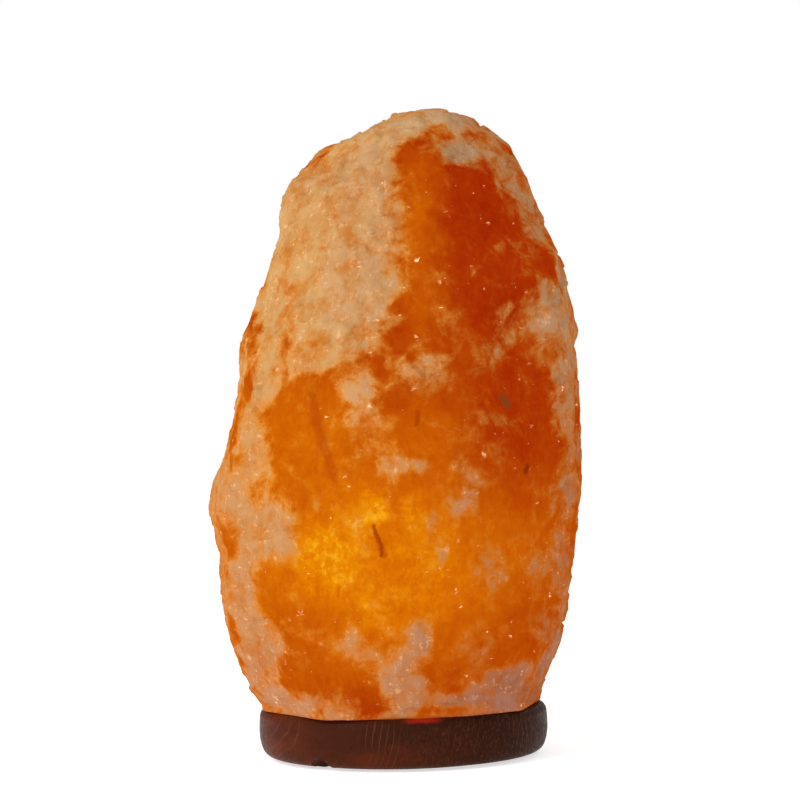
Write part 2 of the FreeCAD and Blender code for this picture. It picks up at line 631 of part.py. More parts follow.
def contact_insert():
    """The ceramic block that holds the threaded shell and both contacts apart."""
    shell_hole = SHELL_OUTER + FIT_GAP / 2
    disc = cylinder(INSERT_RADIUS, SPIGOT_TOP, INSERT_TOP)
    collar = tube(COLLAR_DIAMETER / 2, shell_hole, INSERT_TOP, LIP_BOTTOM - FIT_GAP)
    insert = disc.fuse(collar).removeSplitter()
    gap = FIT_GAP
    half = CONTACT_WIDTH / 2 + gap
    slot_inner = CONTACT_LEG - STRIP_THICKNESS / 2 - gap
    slot_outer = CONTACT_LEG + STRIP_THICKNESS / 2 + gap
    # The tongue's recess runs on past its tip, so that it can be pressed down.
    tongue_end, side_end = -TONGUE_TIP - CONTACT_RECESS, SIDE_CONTACT_END - gap
    for side, depth, inner_end in ((-1, CONTACT_RECESS, tongue_end), (1, STRIP_THICKNESS, side_end)):
        slot = Part.makeBox(slot_outer - slot_inner, 2 * half, INSERT_DISC + 1,
                            V(slot_inner, -half, SPIGOT_TOP - 1))
        recess = Part.makeBox(slot_outer - inner_end, 2 * half, depth,
                              V(inner_end, -half, INSERT_TOP - depth))
        screw = cylinder(TERMINAL_SCREW_DIAMETER / 2 + gap / 2, SPIGOT_TOP - 1,
                         SPIGOT_TOP + TERMINAL_SCREW_LENGTH)
        screw.translate(V(terminal_out(), 0, 0))
        for cutter in (slot, recess, screw):
            insert = insert.cut(cutter if side > 0 else mirrored(cutter))
    return insert


def terminal_out():
    """Distance of each terminal screw from the axis."""
    return CONTACT_LEG - CONTACT_PAD / 2 - STRIP_THICKNESS / 2


def contact_pad_path():
    """What both contacts share: the terminal pad under the insert, as far as the foot of the leg."""
    pad = SPIGOT_TOP - STRIP_THICKNESS / 2 - FIT_GAP / 2
    return [(CONTACT_LEG - CONTACT_PAD, pad), (CONTACT_LEG, pad)]


def with_terminal_hole(contact):
    hole = cylinder(TERMINAL_SCREW_DIAMETER / 2 + FIT_GAP / 2, SPIGOT_TOP - 2, SPIGOT_TOP + 1)
    hole.translate(V(terminal_out(), 0, 0))
    return contact.cut(hole)


def centre_contact():
    """The springy tongue under the bulb's tip, led down to its terminal on the left."""
    low = INSERT_TOP - CONTACT_RECESS + STRIP_THICKNESS / 2
    high = CONTACT_TOP - STRIP_THICKNESS / 2
    tongue = [(TONGUE_FOOT, low), (TONGUE_TIP, high), (-TONGUE_TIP, high)]
    path = contact_pad_path() + [(CONTACT_LEG, low)] + tongue
    return mirrored(with_terminal_hole(bent_strip(path, STRIP_BEND, CONTACT_WIDTH, STRIP_THICKNESS)))


def side_contact():
    """The strip under the rim of the threaded shell, led down to its terminal on the right."""
    low = INSERT_TOP - STRIP_THICKNESS / 2
    path = contact_pad_path() + [(CONTACT_LEG, low), (SIDE_CONTACT_END, low)]
    return with_terminal_hole(bent_strip(path, STRIP_BEND, CONTACT_WIDTH, STRIP_THICKNESS))


def terminal_screws():
    """The two screws that clamp the cord's cores on the terminal pads."""
    top_of_head = SPIGOT_TOP - STRIP_THICKNESS - FIT_GAP
    head = cylinder(TERMINAL_HEAD_DIAMETER / 2, top_of_head - TERMINAL_HEAD_HEIGHT, top_of_head)
    end = SPIGOT_TOP + TERMINAL_SCREW_LENGTH - TERMINAL_HOLE_SPARE
    shank = cylinder(TERMINAL_SCREW_DIAMETER / 2, top_of_head, end)
    screw = head.fuse(shank)
    slot = Part.makeBox(TERMINAL_HEAD_DIAMETER, SLOT_WIDTH / 2, SLOT_DEPTH,
                        V(-TERMINAL_HEAD_DIAMETER / 2, -SLOT_WIDTH / 4,
                          top_of_head - TERMINAL_HEAD_HEIGHT - SLOT_DEPTH / 2))
    screw = screw.cut(slot)
    left, right = screw.copy(), screw
    left.translate(V(-terminal_out(), 0, 0))
    right.translate(V(terminal_out(), 0, 0))
    return Part.makeCompound([left, right])


def threaded_shell():
    """The brass shell that the bulb screws into."""
    inner = SHELL_OUTER - SHELL_WALL
    shell = tube(SHELL_OUTER, inner, INSERT_TOP, LIP_BOTTOM - 2 * FIT_GAP)
    gap = Part.makeBox(SHELL_OUTER + 1, SHELL_NOTCH_WIDTH, SHELL_NOTCH_HEIGHT,
                       V(-SHELL_OUTER - 1, -SHELL_NOTCH_WIDTH / 2, INSERT_TOP))
    return shell.cut(gap)


# ---- spring wings ------------------------------------------------------------------------------------
def pivot():
    """Where a wing bends: (distance from the axis, height)."""
    return FLAT_OUT + WING_ROOT_OUT, SLEEVE_TOP - WING_ROOT_BELOW_MOUTH


def rivet_height():
    return pivot()[1] - RIVET_BELOW_PIVOT


def rivet_hole():
    return across(RIVET_DIAMETER / 2 + FIT_GAP / 2, 0, HOLDER_RADIUS)


def across(radius, start, length):
    """A round bar along X at the height of the rivets."""
    return Part.makeCylinder(radius, length, V(start, 0, rivet_height()), V(1, 0, 0))


def wing_foot_span():
    """Length of the flat on the sleeve, from its top down."""
    return WING_ROOT_BELOW_MOUTH + FOOT_LENGTH + 1


def right_foot():
    """The riveted half of a wing's strip: up the flat and over to the pivot."""
    out, height = pivot()
    inside = FLAT_OUT + STRIP_THICKNESS / 2
    crest = height + WING_CREST
    path = [(inside, height - FOOT_LENGTH), (inside, crest), (out - WING_SPLIT, crest)]
    foot = bent_strip(path, FOOT_BEND, WING_WIDTH, STRIP_THICKNESS)
    return foot.cut(rivet_hole())


def right_wing():
    """The free half: from the pivot down to the knee at the bore, then in to the finger tab."""
    out, height = pivot()
    knee = DISC_BORE / 2 - WING_CLEARANCE - STRIP_THICKNESS / 2
    # The knee's edges, half the strip's width to each side, meet the round bore first.
    knee = math.sqrt(knee ** 2 - (WING_WIDTH / 2) ** 2)
    path = [(out, height + WING_CREST), (out + WING_SHOULDER_OUT, height - WING_SHOULDER_DROP),
            (knee, WING_KNEE_HEIGHT), (knee - WING_TAB_IN, WING_TAB_HEIGHT)]
    return bent_strip(path, WING_BEND, WING_WIDTH, STRIP_THICKNESS)


def clip_feet():
    foot = right_foot()
    return Part.makeCompound([mirrored(foot), foot])


def clip_rivets():
    """One rivet through each foot and the sleeve's wall, headed outside and inside."""
    inner, outer = SLEEVE_BORE / 2 - RIVET_HEAD_HEIGHT, FLAT_OUT + STRIP_THICKNESS + FIT_GAP / 2
    shank = across(RIVET_DIAMETER / 2, inner, outer - inner)
    head = across(RIVET_HEAD_DIAMETER / 2, outer, RIVET_HEAD_HEIGHT)
    rim = max(head.Edges, key=lambda edge: edge.CenterOfMass.x)
    head = head.makeFillet(RIVET_HEAD_HEIGHT * RIVET_ROUNDING, [rim])
    peened = across(RIVET_DIAMETER * PEEN_SHARE, inner, RIVET_HEAD_HEIGHT * PEEN_SHARE)
    rivet = shank.fuse([head, peened]).removeSplitter()
    return Part.makeCompound([mirrored(rivet), rivet])


# ---- bulb --------------------------------------------------------------------------------------------
def glass_profile(inset):
    """Neck, shoulder and dome of the glass, so far inside its outer face."""
    widest = BULB_TOP - BULB_DIAMETER / 2 - BELLY_DROP
    neck, belly = BULB_NECK_DIAMETER / 2 - inset, BULB_DIAMETER / 2 - inset
    shoulder = NECK_BOTTOM + NECK_LENGTH
    edges = [line((neck, NECK_BOTTOM), (neck, shoulder))]
    edges += double_bend((neck, shoulder), (belly, widest))
    edges += quarter_bend((belly, widest), (belly, BULB_TOP - inset), (0, BULB_TOP - inset))
    return edges


def bulb_glass():
    neck = BULB_NECK_DIAMETER / 2
    foot = line((neck, NECK_BOTTOM), (neck - GLASS_WALL, NECK_BOTTOM))
    crown = line((0, BULB_TOP), (0, BULB_TOP - GLASS_WALL))
    return turned(glass_profile(0.0) + glass_profile(GLASS_WALL) + [foot, crown])


def bulb_stem():
    """The flared glass mount inside the neck, with its exhaust bore."""
    wide = BULB_NECK_DIAMETER / 2 - GLASS_WALL - FIT_GAP / 2
    narrow, bore = STEM_DIAMETER / 2, EXHAUST_BORE / 2
    press = STEM_TOP - STEM_PRESS
    rim, flare, inside = NECK_BOTTOM + STEM_RIM, NECK_BOTTOM + STEM_FLARE, wide - STEM_RIM
    edges = lines([(wide, NECK_BOTTOM), (wide, rim)])
    edges += quarter_bend((wide, rim), (narrow, rim), (narrow, press))
    edges += lines([(narrow, press), (narrow, STEM_TOP), (0, STEM_TOP), (0, press), (bore, press),
                    (bore, flare)])
    edges += quarter_bend((bore, flare), (bore, NECK_BOTTOM), (inside, NECK_BOTTOM))
    edges.append(line((inside, NECK_BOTTOM), (wide, NECK_BOTTOM)))
    return turned(edges)


def bulb_lead_wires():
    """Two wires from the press out to the filament's hooks."""
    start = STEM_DIAMETER / 2 - WIRE_DIAMETER
    end = FILAMENT_SPAN / 2
    path = [(start, STEM_TOP + FIT_GAP), (start, STEM_TOP + WIRE_UPRIGHT),
            (end, HOOK_HEIGHT - WIRE_UPRIGHT), (end, HOOK_HEIGHT)]
    right = round_wire(path, WIRE_BEND, WIRE_DIAMETER)
    return Part.makeCompound([mirrored(right), right])


def filament_height():
    return HOOK_HEIGHT + FILAMENT_DIAMETER / 2 + FIT_GAP


def bulb_filament():
    """The outer form of the coiled filament, arched from hook to hook."""
    end, low = FILAMENT_SPAN / 2, filament_height()
    path = Part.Wire([arc((-end, low), (0, low + FILAMENT_ARCH), (end, low))])
    tangent = path.Edges[0].tangentAt(path.Edges[0].FirstParameter)
    section = Part.Face(Part.Wire([Part.makeCircle(FILAMENT_DIAMETER / 2, V(-end, 0, low), tangent)]))
    return path.makePipe(section)


def bulb_filament_support():
    """The wire from the middle of the press that carries the middle of the filament."""
    top = filament_height() + FILAMENT_ARCH - FILAMENT_DIAMETER / 2 - FIT_GAP
    return Part.makeCylinder(WIRE_DIAMETER / 2, top - STEM_TOP - FIT_GAP, V(0, 0, STEM_TOP + FIT_GAP))


def bulb_cap():
    """The screw cap of the bulb: crimped foot, threaded barrel and flared rim round the neck."""
    barrel, flare, foot = THREAD_DIAMETER / 2, CAP_FLARE_DIAMETER / 2, CAP_CRIMP_DIAMETER / 2
    wall = CAP_SHELL_WALL
    low, high = CAP_SHELL_BOTTOM, CAP_SHELL_TOP
    shoulder = low + CAP_SHOULDER
    neck = high - CAP_FLARE_HEIGHT
    edges = lines([(foot, low + wall), (foot, low)])
    edges += quarter_bend((foot, low), (barrel, low), (barrel, shoulder))
    edges += lines([(barrel, shoulder), (barrel, neck)])
    edges += quarter_bend((barrel, neck), (flare, neck), (flare, high))
    edges.append(line((flare, high), (flare - wall, high)))
    edges += quarter_bend((flare - wall, high), (flare - wall, neck + wall), (barrel - wall, neck))
    edges += lines([(barrel - wall, neck), (barrel - wall, shoulder)])
    edges += quarter_bend((barrel - wall, shoulder), (barrel - wall, low + wall), (foot, low + wall))
    return turned(edges)


def bulb_insulator():
    """The dark glass between the screw cap and the tip contact."""
    hole = TIP_DIAMETER / 2 + FIT_GAP / 2
    rim = CAP_CRIMP_DIAMETER / 2 - FIT_GAP / 2
    low, high = INSULATOR_BOTTOM, INSULATOR_BOTTOM + INSULATOR_HEIGHT
    return turned(lines([(hole, low), (hole + INSULATOR_FACE, low), (rim, CAP_SHELL_BOTTOM), (rim, high),
                         (hole, high), (hole, low)]))


def bulb_tip_contact():
    """The solder button at the bottom of the bulb."""
    radius = TIP_DIAMETER / 2
    low, high = BULB_TIP, BULB_TIP + TIP_HEIGHT
    round_top = low + TIP_HEIGHT * TIP_ROUND_SHARE
    edges = quarter_bend((0, low), (radius, low), (radius, round_top))
    edges += lines([(radius, round_top), (radius, high), (0, high), (0, low)])
    return turned(edges)


def main():
    os.makedirs("parts", exist_ok=True)
    save("salt_crystal", salt_crystal())
    save("wooden_disc", wooden_disc())
    save("felt_pad", felt_pad())
    save("base_screws", base_screws())
    save("screw_plugs", screw_plugs())
    save("holder_cap", holder_cap())
    save("entry_bush", entry_bush())
    save("holder_sleeve", holder_sleeve())
    save("contact_insert", contact_insert())
    save("centre_contact", centre_contact())
    save("side_contact", side_contact())
    save("terminal_screws", terminal_screws())
    save("threaded_shell", threaded_shell())
    save("clip_feet", clip_feet())
    save("clip_rivets", clip_rivets())
    wing = right_wing()
    save("right_wing", wing)
    save("left_wing", mirrored(wing))
    save("bulb_glass", bulb_glass())
    save("bulb_stem", bulb_stem())
    save("bulb_lead_wires", bulb_lead_wires())
    save("bulb_filament", bulb_filament())
    save("bulb_filament_support", bulb_filament_support())
    save("bulb_cap", bulb_cap())
    save("bulb_insulator", bulb_insulator())
    save("bulb_tip_contact", bulb_tip_contact())


main()
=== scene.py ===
"""Salt crystal lamp: a hewn lump of rock salt on a stained wooden disc, lit from a bored hollow by
a small screw-in bulb in a spring-clip lampholder."""
import math

import bmesh
import bpy
import numpy as np
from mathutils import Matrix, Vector, noise


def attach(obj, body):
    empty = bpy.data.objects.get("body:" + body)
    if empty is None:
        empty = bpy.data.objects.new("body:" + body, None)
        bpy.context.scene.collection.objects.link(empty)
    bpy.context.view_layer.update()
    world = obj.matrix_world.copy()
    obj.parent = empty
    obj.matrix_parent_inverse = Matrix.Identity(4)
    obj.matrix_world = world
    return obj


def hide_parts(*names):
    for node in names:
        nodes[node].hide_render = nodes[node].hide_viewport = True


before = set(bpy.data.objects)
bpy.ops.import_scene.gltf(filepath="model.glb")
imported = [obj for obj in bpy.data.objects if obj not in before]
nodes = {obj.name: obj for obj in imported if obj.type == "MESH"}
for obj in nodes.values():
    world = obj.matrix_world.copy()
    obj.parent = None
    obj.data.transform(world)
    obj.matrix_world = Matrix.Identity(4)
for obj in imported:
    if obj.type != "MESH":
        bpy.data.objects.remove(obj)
scene = bpy.context.scene
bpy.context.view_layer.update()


# ---- Camera, studio and floor -------------------------------------------------------------------
# The lamp stands on a white sweep in a light tent, seen level from the front at the lump's middle
# height, with the camera held slightly out of true. Two soft boxes give the upright faces form.
CAMERA_PLACE = (0.00177, -1.2, 0.156)
CAMERA_ROLL = 0.023
LUMP_MIDDLE = Vector((0, 0, 0.14))
TENT_LIGHT, TENT_SEEN = 0.52, 1.0
WHITE = (1, 1, 1, 1)

camera = bpy.data.objects.new("camera", bpy.data.cameras.new("camera"))
scene.collection.objects.link(camera)
camera.location = CAMERA_PLACE
camera.rotation_euler = (math.pi / 2, CAMERA_ROLL, 0)
camera.data.lens = 122.4
camera.data.sensor_width = 36
camera.data.clip_start = 0.01
scene.camera = camera
scene.view_settings.view_transform = "Standard"


def soft_box(name, place, size, watts):
    """A square lamp aimed at the middle of the lump."""
    lamp = bpy.data.lights.new(name, "AREA")
    lamp.size = size
    lamp.energy = watts
    box = bpy.data.objects.new(name, lamp)
    box.location = place
    box.rotation_euler = (LUMP_MIDDLE - Vector(place)).to_track_quat("-Z", "Y").to_euler()
    scene.collection.objects.link(box)


soft_box("soft_box_high_left", place=(-0.75, -0.60, 0.75), size=0.7, watts=8.5)
soft_box("soft_box_back_right", place=(0.7, 0.7, 0.7), size=0.6, watts=0.9)


def add(tree, kind, inputs=None, **settings):
    """A new node in a tree; its inputs, by name or number, take values or other nodes' outputs."""
    new = tree.nodes.new(kind)
    for key, value in settings.items():
        setattr(new, key, value)
    for key, value in (inputs or {}).items():
        if isinstance(value, bpy.types.NodeSocket):
            tree.links.new(value, new.inputs[key])
        else:
            new.inputs[key].default_value = value
    return new


def shading(name, **constants):
    """A material with its Principled shader; constants go straight on the shader's own sockets."""
    material = bpy.data.materials.new(name)
    material.use_nodes = True
    shader = material.node_tree.nodes["Principled BSDF"]
    for key, value in constants.items():
        shader.inputs[key.replace("_", " ")].default_value = value
    return material, material.node_tree, shader


scene.world = bpy.data.worlds.new("light tent")
scene.world.use_nodes = True
tent = scene.world.node_tree
seen = add(tent, "ShaderNodeLightPath").outputs["Is Camera Ray"]
strength = add(tent, "ShaderNodeMapRange", {"Value": seen, "To Min": TENT_LIGHT,
                                            "To Max": TENT_SEEN})
tent.nodes["Background"].inputs["Color"].default_value = WHITE
tent.links.new(strength.outputs[0], tent.nodes["Background"].inputs["Strength"])

floor_paint = shading("white_sweep", Roughness=0.9, Base_Color=(0.93, 0.93, 0.93, 1),
                      Emission_Color=WHITE, Emission_Strength=0.62)[0]
bpy.ops.mesh.primitive_plane_add(size=8)
floor = bpy.context.object
floor.name = "floor"
floor.location.z = -0.0002
floor.data.materials.append(floor_paint)


# ---- Wooden disc --------------------------------------------------------------------------------
# A disc turned from one dark-stained hardwood plank, 127 mm across, with a full round edge. The
# growth rings run through it at a slant, its pores show as short dashes, and its varnish is thin.
def maths(tree, how, a, b=0.0, c=0.0):
    """One sum of two or three values or outputs."""
    return add(tree, "ShaderNodeMath", {0: a, 1: b, 2: c}, operation=how).outputs[0]


def product(tree, first, *others):
    """Values or outputs multiplied together."""
    for other in others:
        first = maths(tree, "MULTIPLY", first, other)
    return first


def spread(tree, value, low, high, to_low=0.0, to_high=1.0):
    """Softly maps a value between low and high to another span."""
    spans = {"Value": value, "From Min": low, "From Max": high, "To Min": to_low, "To Max": to_high}
    return add(tree, "ShaderNodeMapRange", spans, interpolation_type="SMOOTHSTEP").outputs[0]


def tint(tree, share, under, over, how="MIX"):
    """A share of one colour laid on another."""
    return add(tree, "ShaderNodeMix", {0: share, 6: under, 7: over}, data_type="RGBA",
               blend_type=how).outputs[2]


def object_place(tree, scale=(1, 1, 1), turn=(0, 0, 0)):
    """Object coordinates, stretched or turned."""
    place = add(tree, "ShaderNodeTexCoord").outputs["Object"]
    return add(tree, "ShaderNodeMapping", {"Vector": place, "Rotation": turn,
                                           "Scale": scale}).outputs[0]


def cloud(tree, place, size, detail, rough, seed, swirl=0.0, out="Fac"):
    """Soft noise whose lumps are about so many metres across, and swirled as far as asked."""
    return add(tree, "ShaderNodeTexNoise", {
        "Vector": place, "W": seed, "Scale": 1 / size, "Detail": detail, "Roughness": rough,
        "Distortion": swirl}, noise_dimensions="4D").outputs[out]


def parts_of(tree, vector):
    """The X, Y and Z of a vector."""
    return add(tree, "ShaderNodeSeparateXYZ", {"Vector": vector}).outputs


def dress(material, *names):
    """Gives a material to nodes of the frame that keep their own mesh."""
    for name in names:
        nodes[name].data.materials.clear()
        nodes[name].data.materials.append(material)


PITH_ACROSS, PITH_UP = -0.070, 0.028
RING_WAVER, RING_DENSITY = 0.012, 900.0
PAINTED_GLOW_MIDDLE = 0.008

wood_paint, wood, varnish = shading("stained_wood", Specular_IOR_Level=0.03, Emission_Strength=1.0)
place = object_place(wood)
axes = parts_of(wood, place)

# Growth rings around a pith outside the disc, closer together the older they are.
across = maths(wood, "SUBTRACT", axes["X"], PITH_ACROSS)
above = maths(wood, "SUBTRACT", axes["Z"], PITH_UP)
from_pith = maths(wood, "SQRT", maths(wood, "ADD", product(wood, across, across),
                                      product(wood, above, above)))
waver = cloud(wood, place, size=0.03, detail=3.0, rough=0.5, seed=3.0)
ring_place = maths(wood, "MULTIPLY_ADD", waver, RING_WAVER, from_pith)
ring = maths(wood, "FRACT", product(wood, maths(wood, "POWER", ring_place, 1.5), RING_DENSITY))
ring_strength = cloud(wood, place, size=0.02, detail=2.0, rough=0.5, seed=8.0)
late_wood = product(wood, spread(wood, ring, 0.80, 0.92), spread(wood, ring_strength, 0.46, 0.66))

# Fibres lie along the plank; the pores between them show most on the right.
fibre = cloud(wood, object_place(wood, (1, 0.12, 0.35)), size=0.0007, detail=3.0, rough=0.6,
              seed=5.0)
to_the_right = spread(wood, axes["X"], -0.02, 0.03, 0.12, 1.0)
pores = product(wood, spread(wood, fibre, 0.52, 0.66), to_the_right)

# The stain is redder in places and darker in the fibres, and painted shade makes the disc darker to
# the right.
stain = cloud(wood, object_place(wood, (1, 1, 2.5)), size=0.035, detail=3.0, rough=0.5, seed=11.0)
brown = tint(wood, spread(wood, stain, 0.36, 0.66), (0.0528, 0.0122, 0.0046, 1),
             (0.112, 0.0187, 0.0053, 1))
# Painted shade: darker towards the right, away from the high-left soft box.
brown = tint(wood, spread(wood, axes["X"], -0.05, 0.04, 0.0, 0.85), brown,
             (0.0235, 0.0068, 0.0029, 1))
brown = tint(wood, product(wood, late_wood, 0.5), brown, (0.12, 0.0475, 0.0238, 1))
brown = tint(wood, product(wood, pores, 0.52), brown, (0.084, 0.0346, 0.0178, 1))
brown = tint(wood, spread(wood, fibre, 0.30, 0.44, 0.5, 0.0), brown, (0.012, 0.005, 0.003, 1))
wood.links.new(brown, varnish.inputs["Base Color"])
wood.links.new(spread(wood, fibre, 0.3, 0.7, 0.50, 0.34), varnish.inputs["Roughness"])

# A painted glow stands in for red light from the salt's foot: emission in a short band on the upper
# edge, near the middle.
aside = maths(wood, "ABSOLUTE", maths(wood, "SUBTRACT", axes["X"], PAINTED_GLOW_MIDDLE))
painted_red_glow = product(wood, spread(wood, aside, 0.003, 0.010, 1.0, 0.0),
               spread(wood, axes["Z"], 0.0200, 0.0214), spread(wood, axes["Y"], -0.03, -0.05))
wood.links.new(tint(wood, painted_red_glow, (0, 0, 0, 1), (0.26, 0.004, 0.002, 1)),
               varnish.inputs["Emission Color"])
grain_height = maths(wood, "ADD", fibre, product(wood, late_wood, 0.5))
grain_relief = add(wood, "ShaderNodeBump", {"Strength": 0.35, "Distance": 0.0002,
                                            "Height": grain_height})
wood.links.new(grain_relief.outputs[0], varnish.inputs["Normal"])
dress(wood_paint, "wooden_disc")


# ---- Salt lump ----------------------------------------------------------------------------------
# Rock salt split and hewn by hand, 262 mm high, with a drilled hollow for the bulb. Chisel flats
# and chips have worn round, a frosted crust is left in patches, and the clear salt between them
# has the bulb's light painted on as emission: yellow where it is near, deep red where the light
# comes a long way.
FACE_SIZE = 0.00143  # voxel size of the remesh, which sets how fine the faces are; keeps the piece under 200,000 triangles
SEAT_TOP, BORE_TOP, BORE_WALL = 0.0225, 0.126, 0.0262

lump_shell = bmesh.new()
lump_shell.from_mesh(nodes["salt_crystal"].data)
bmesh.ops.remove_doubles(lump_shell, verts=lump_shell.verts, dist=1e-6)
lump_mesh = bpy.data.meshes.new("salt_lump")
lump_shell.to_mesh(lump_mesh)
lump_shell.free()
lump = bpy.data.objects.new("salt_lump", lump_mesh)
scene.collection.objects.link(lump)
fine = lump.modifiers.new("fine faces", "REMESH")
fine.mode = "VOXEL"
fine.voxel_size = FACE_SIZE


def settle(piece):
    """Applies a piece's modifiers and leaves a plain mesh."""
    ready = piece.evaluated_get(bpy.context.evaluated_depsgraph_get())
    made = bpy.data.meshes.new_from_object(ready)
    piece.modifiers.clear()
    piece.data = made


def corner_places(mesh):
    """All vertices of a mesh as an array."""
    places = np.empty(len(mesh.vertices) * 3, np.float32)
    mesh.vertices.foreach_get("co", places)
    return places.reshape(-1, 3)


def grows(value, start, width):
    """From 0 where a value reaches start to 1 a width further on."""
    return np.clip((value - start) / width, 0, 1)


# Only the hewn outside is worn and shaped: the seat on the disc and the bore stay as drilled.
settle(lump)
at = corner_places(lump.data)
x, y, z = at.T
clear_of_bore = np.where(z < BORE_TOP, grows(np.hypot(x, y), BORE_WALL, 0.003), 1.0)
hewn = grows(z, SEAT_TOP, 0.002) * clear_of_bore
worn = lump.vertex_groups.new(name="worn")
worn.add(np.flatnonzero(hewn > 0.5).tolist(), 1.0, "REPLACE")
wear = lump.modifiers.new("wear", "SMOOTH")
wear.factor = 0.5
wear.iterations = 11
wear.vertex_group = "worn"
settle(lump)
at = corner_places(lump.data)
x, y, z = at.T

# How far splinters have broken off its left and right outline, at each height, all in mm.
BROKEN = [
    (22, 2.0, 0.5), (33, -0.2, 0.6), (62, -0.7, -0.4), (77, 1.2, 1.4), (88, 3.0, 2.3),
    (102, 2.2, 1.7), (112, 0.3, 1.2), (130, 1.2, 0.6), (150, 1.6, 0.2), (160, 2.6, 0.6),
    (178, 2.2, 1.8), (185, 1.4, 0.1), (202, 3.8, 1.9), (212, 2.2, 1.6), (238, 2.0, 3.3),
    (252, 0.4, 1.8), (262, 1.0, 1.5), (268, -0.2, 1.2), (272, 7.5, 2.6), (276, 6.6, 2.2),
    (280, 9.0, -3.4), (286, 12.0, -2.5),
]
SLICE, SLICES = 0.004, 80
high, left, right = np.array(BROKEN).T / 1000
slices = np.round(z / SLICE).astype(int)
levels = np.arange(SLICES) * SLICE
reach_left, reach_right = np.full(SLICES, 0.02), np.full(SLICES, 0.02)
np.maximum.at(reach_left, slices, -x)
np.maximum.at(reach_right, slices, x)
share_out = np.where(x < 0, -x / np.interp(z, levels, reach_left),
                     x / np.interp(z, levels, reach_right)).clip(0, 1)
taken = np.where(x < 0, np.interp(z, high, left), -np.interp(z, high, right))
at[:, 0] += taken * hewn * share_out ** 2
# The very top is worn down a little, most at its left.
at[:, 2] -= grows(z, 0.272, 0.008) * (0.0005 + 0.0012 * grows(-x, -0.014, 0.015))
lump.data.vertices.foreach_set("co", at.ravel())

# Frosted patches on the side that faces the camera: place across and up, half width, half height
# in mm, and lean in degrees. The second list is of thin ones.
CRUST = [
    (-19, 246, 21, 19, 0), (-40, 238, 16, 26, 12), (-23, 221, 25, 20, 0), (-29, 194, 20, 17, 0),
    (-9, 200, 10, 12, 0), (-8, 262, 11, 14, 0), (-6, 273, 22, 7, 0), (20, 276, 24, 6, 0),
    (31, 262, 17, 7, -10), (46, 262, 10, 7, -35), (50, 252, 8, 15, 35), (60, 236, 6, 16, 20),
    (65, 193, 9, 13, 0), (73, 163, 7, 26, 0), (-24, 178, 13, 6, 15), (-52, 200, 6, 22, 0),
    (-55, 160, 6, 24, 3), (-62, 138, 7, 16, 0), (-54, 102, 12, 13, 10), (-70, 114, 8, 12, 0),
    (-66, 78, 6, 24, 0), (-60, 46, 9, 15, -15), (-66, 57, 6, 13, -10), (-50, 28, 22, 6, -6),
    (-4, 27, 12, 5, 0), (2, 40, 9, 14, 8), (8, 56, 5, 9, 15), (45, 35, 15, 8, 8),
    (24, 27, 14, 4, 0), (50, 26, 14, 5, 8), (72, 122, 6, 18, 0), (71, 82, 5, 16, 0),
]
THIN = [
    (42, 178, 6, 12, -25), (44, 192, 7, 4, 0), (42, 147, 5, 3, -20), (12, 167, 11, 8, -20),
    (-14, 153, 8, 17, 0), (-3, 130, 5, 7, 0), (9, 128, 4, 4, 0), (14, 101, 3, 7, 0),
    (17, 90, 3, 4, 0), (39, 83, 7, 10, 15), (60, 85, 7, 9, 0), (64, 57, 6, 11, 15),
    (-21, 52, 5, 7, 0), (-12, 50, 4, 4, 0), (-35, 112, 3, 3, 0), (28, 120, 6, 10, 0),
    (-38, 172, 12, 6, 0), (30, 50, 9, 7, 0),
]
# Clear panes let into the crust in the same way, and how clear each is.
PANES = [
    (38, 222, 18, 30, 0, 0.9), (14, 208, 7, 18, 0, 0.54), (22, 270, 6, 3, 0, 0.5),
    (13, 247, 8, 17, 0, 0.50), (-46, 152, 9, 8, 0, 0.8), (-35, 160, 11, 7, 25, 0.75),
    (-40, 146, 12, 8, 0, 0.6), (-45, 40, 7, 6, 0, 0.85), (-13, 31, 9, 6, 0, 0.95),
    (18, 40, 10, 7, 0, 0.95), (55, 140, 14, 22, 0, 0.9), (-63, 194, 4, 17, 14, 0.65),
    (-71, 152, 4, 20, 6, 0.5),
]
# Places where the painted glow is stronger, or weaker, than their distance from the bulb alone
# gives: as above, then the change.
LIGHT = [
    (-12, 111, 6, 6, 0, 0.15), (6, 109, 6, 8, 0, 0.08), (-21, 91, 18, 20, 0, 0.03),
    (2, 100, 14, 14, 0, 0.02), (40, 226, 22, 36, 0, -0.06), (11, 210, 10, 24, 0, 0.17),
    (12, 243, 10, 18, 0, 0.22), (46, 192, 10, 12, 0, -0.08), (52, 150, 16, 26, 0, -0.11),
    (36, 138, 14, 16, 0, -0.04), (-40, 152, 24, 24, 0, 0.16), (10, 142, 16, 14, 0, 0.08),
    (-15, 30, 12, 8, 0, -0.14), (18, 38, 12, 9, 0, -0.08), (60, 105, 14, 24, 0, -0.05),
    (52, 62, 18, 16, 0, -0.10), (42, 118, 14, 16, 0, -0.05), (-42, 64, 18, 16, 0, -0.05),
    (-72, 165, 11, 55, 0, 0.10), (22, 270, 6, 4, 0, 0.12),
]
# Marks in the clear salt: both ends across and up in mm, half width in mm, colour and strength.
MARKS = [
    ((-36, 158), (-27, 126), 2.4, (0.42, 0.045, 0.001), 0.55),
    ((-10, 103), (-8, 92), 0.8, (0.30, 0.030, 0.001), 0.8),
    ((-9, 96), (-7, 92), 1.4, (0.38, 0.045, 0.001), 0.6),
    ((44, 156), (47, 153), 1.7, (0.16, 0.050, 0.012), 0.7),
    ((54, 126), (55, 128), 1.2, (0.12, 0.015, 0.002), 0.7),
    ((9, 146), (9, 150), 1.1, (0.32, 0.030, 0.001), 0.6),
    ((-58, 52), (-55, 50), 1.1, (0.30, 0.030, 0.002), 0.4),
]


def noise_at(size, seed):
    """Soft noise from -1 to 1 at each vertex of the lump."""
    shift = Vector((seed, -seed, 2 * seed))
    return np.array([noise.fractal(Vector(p) / size + shift, 1.0, 2.0, 3) for p in at.tolist()])


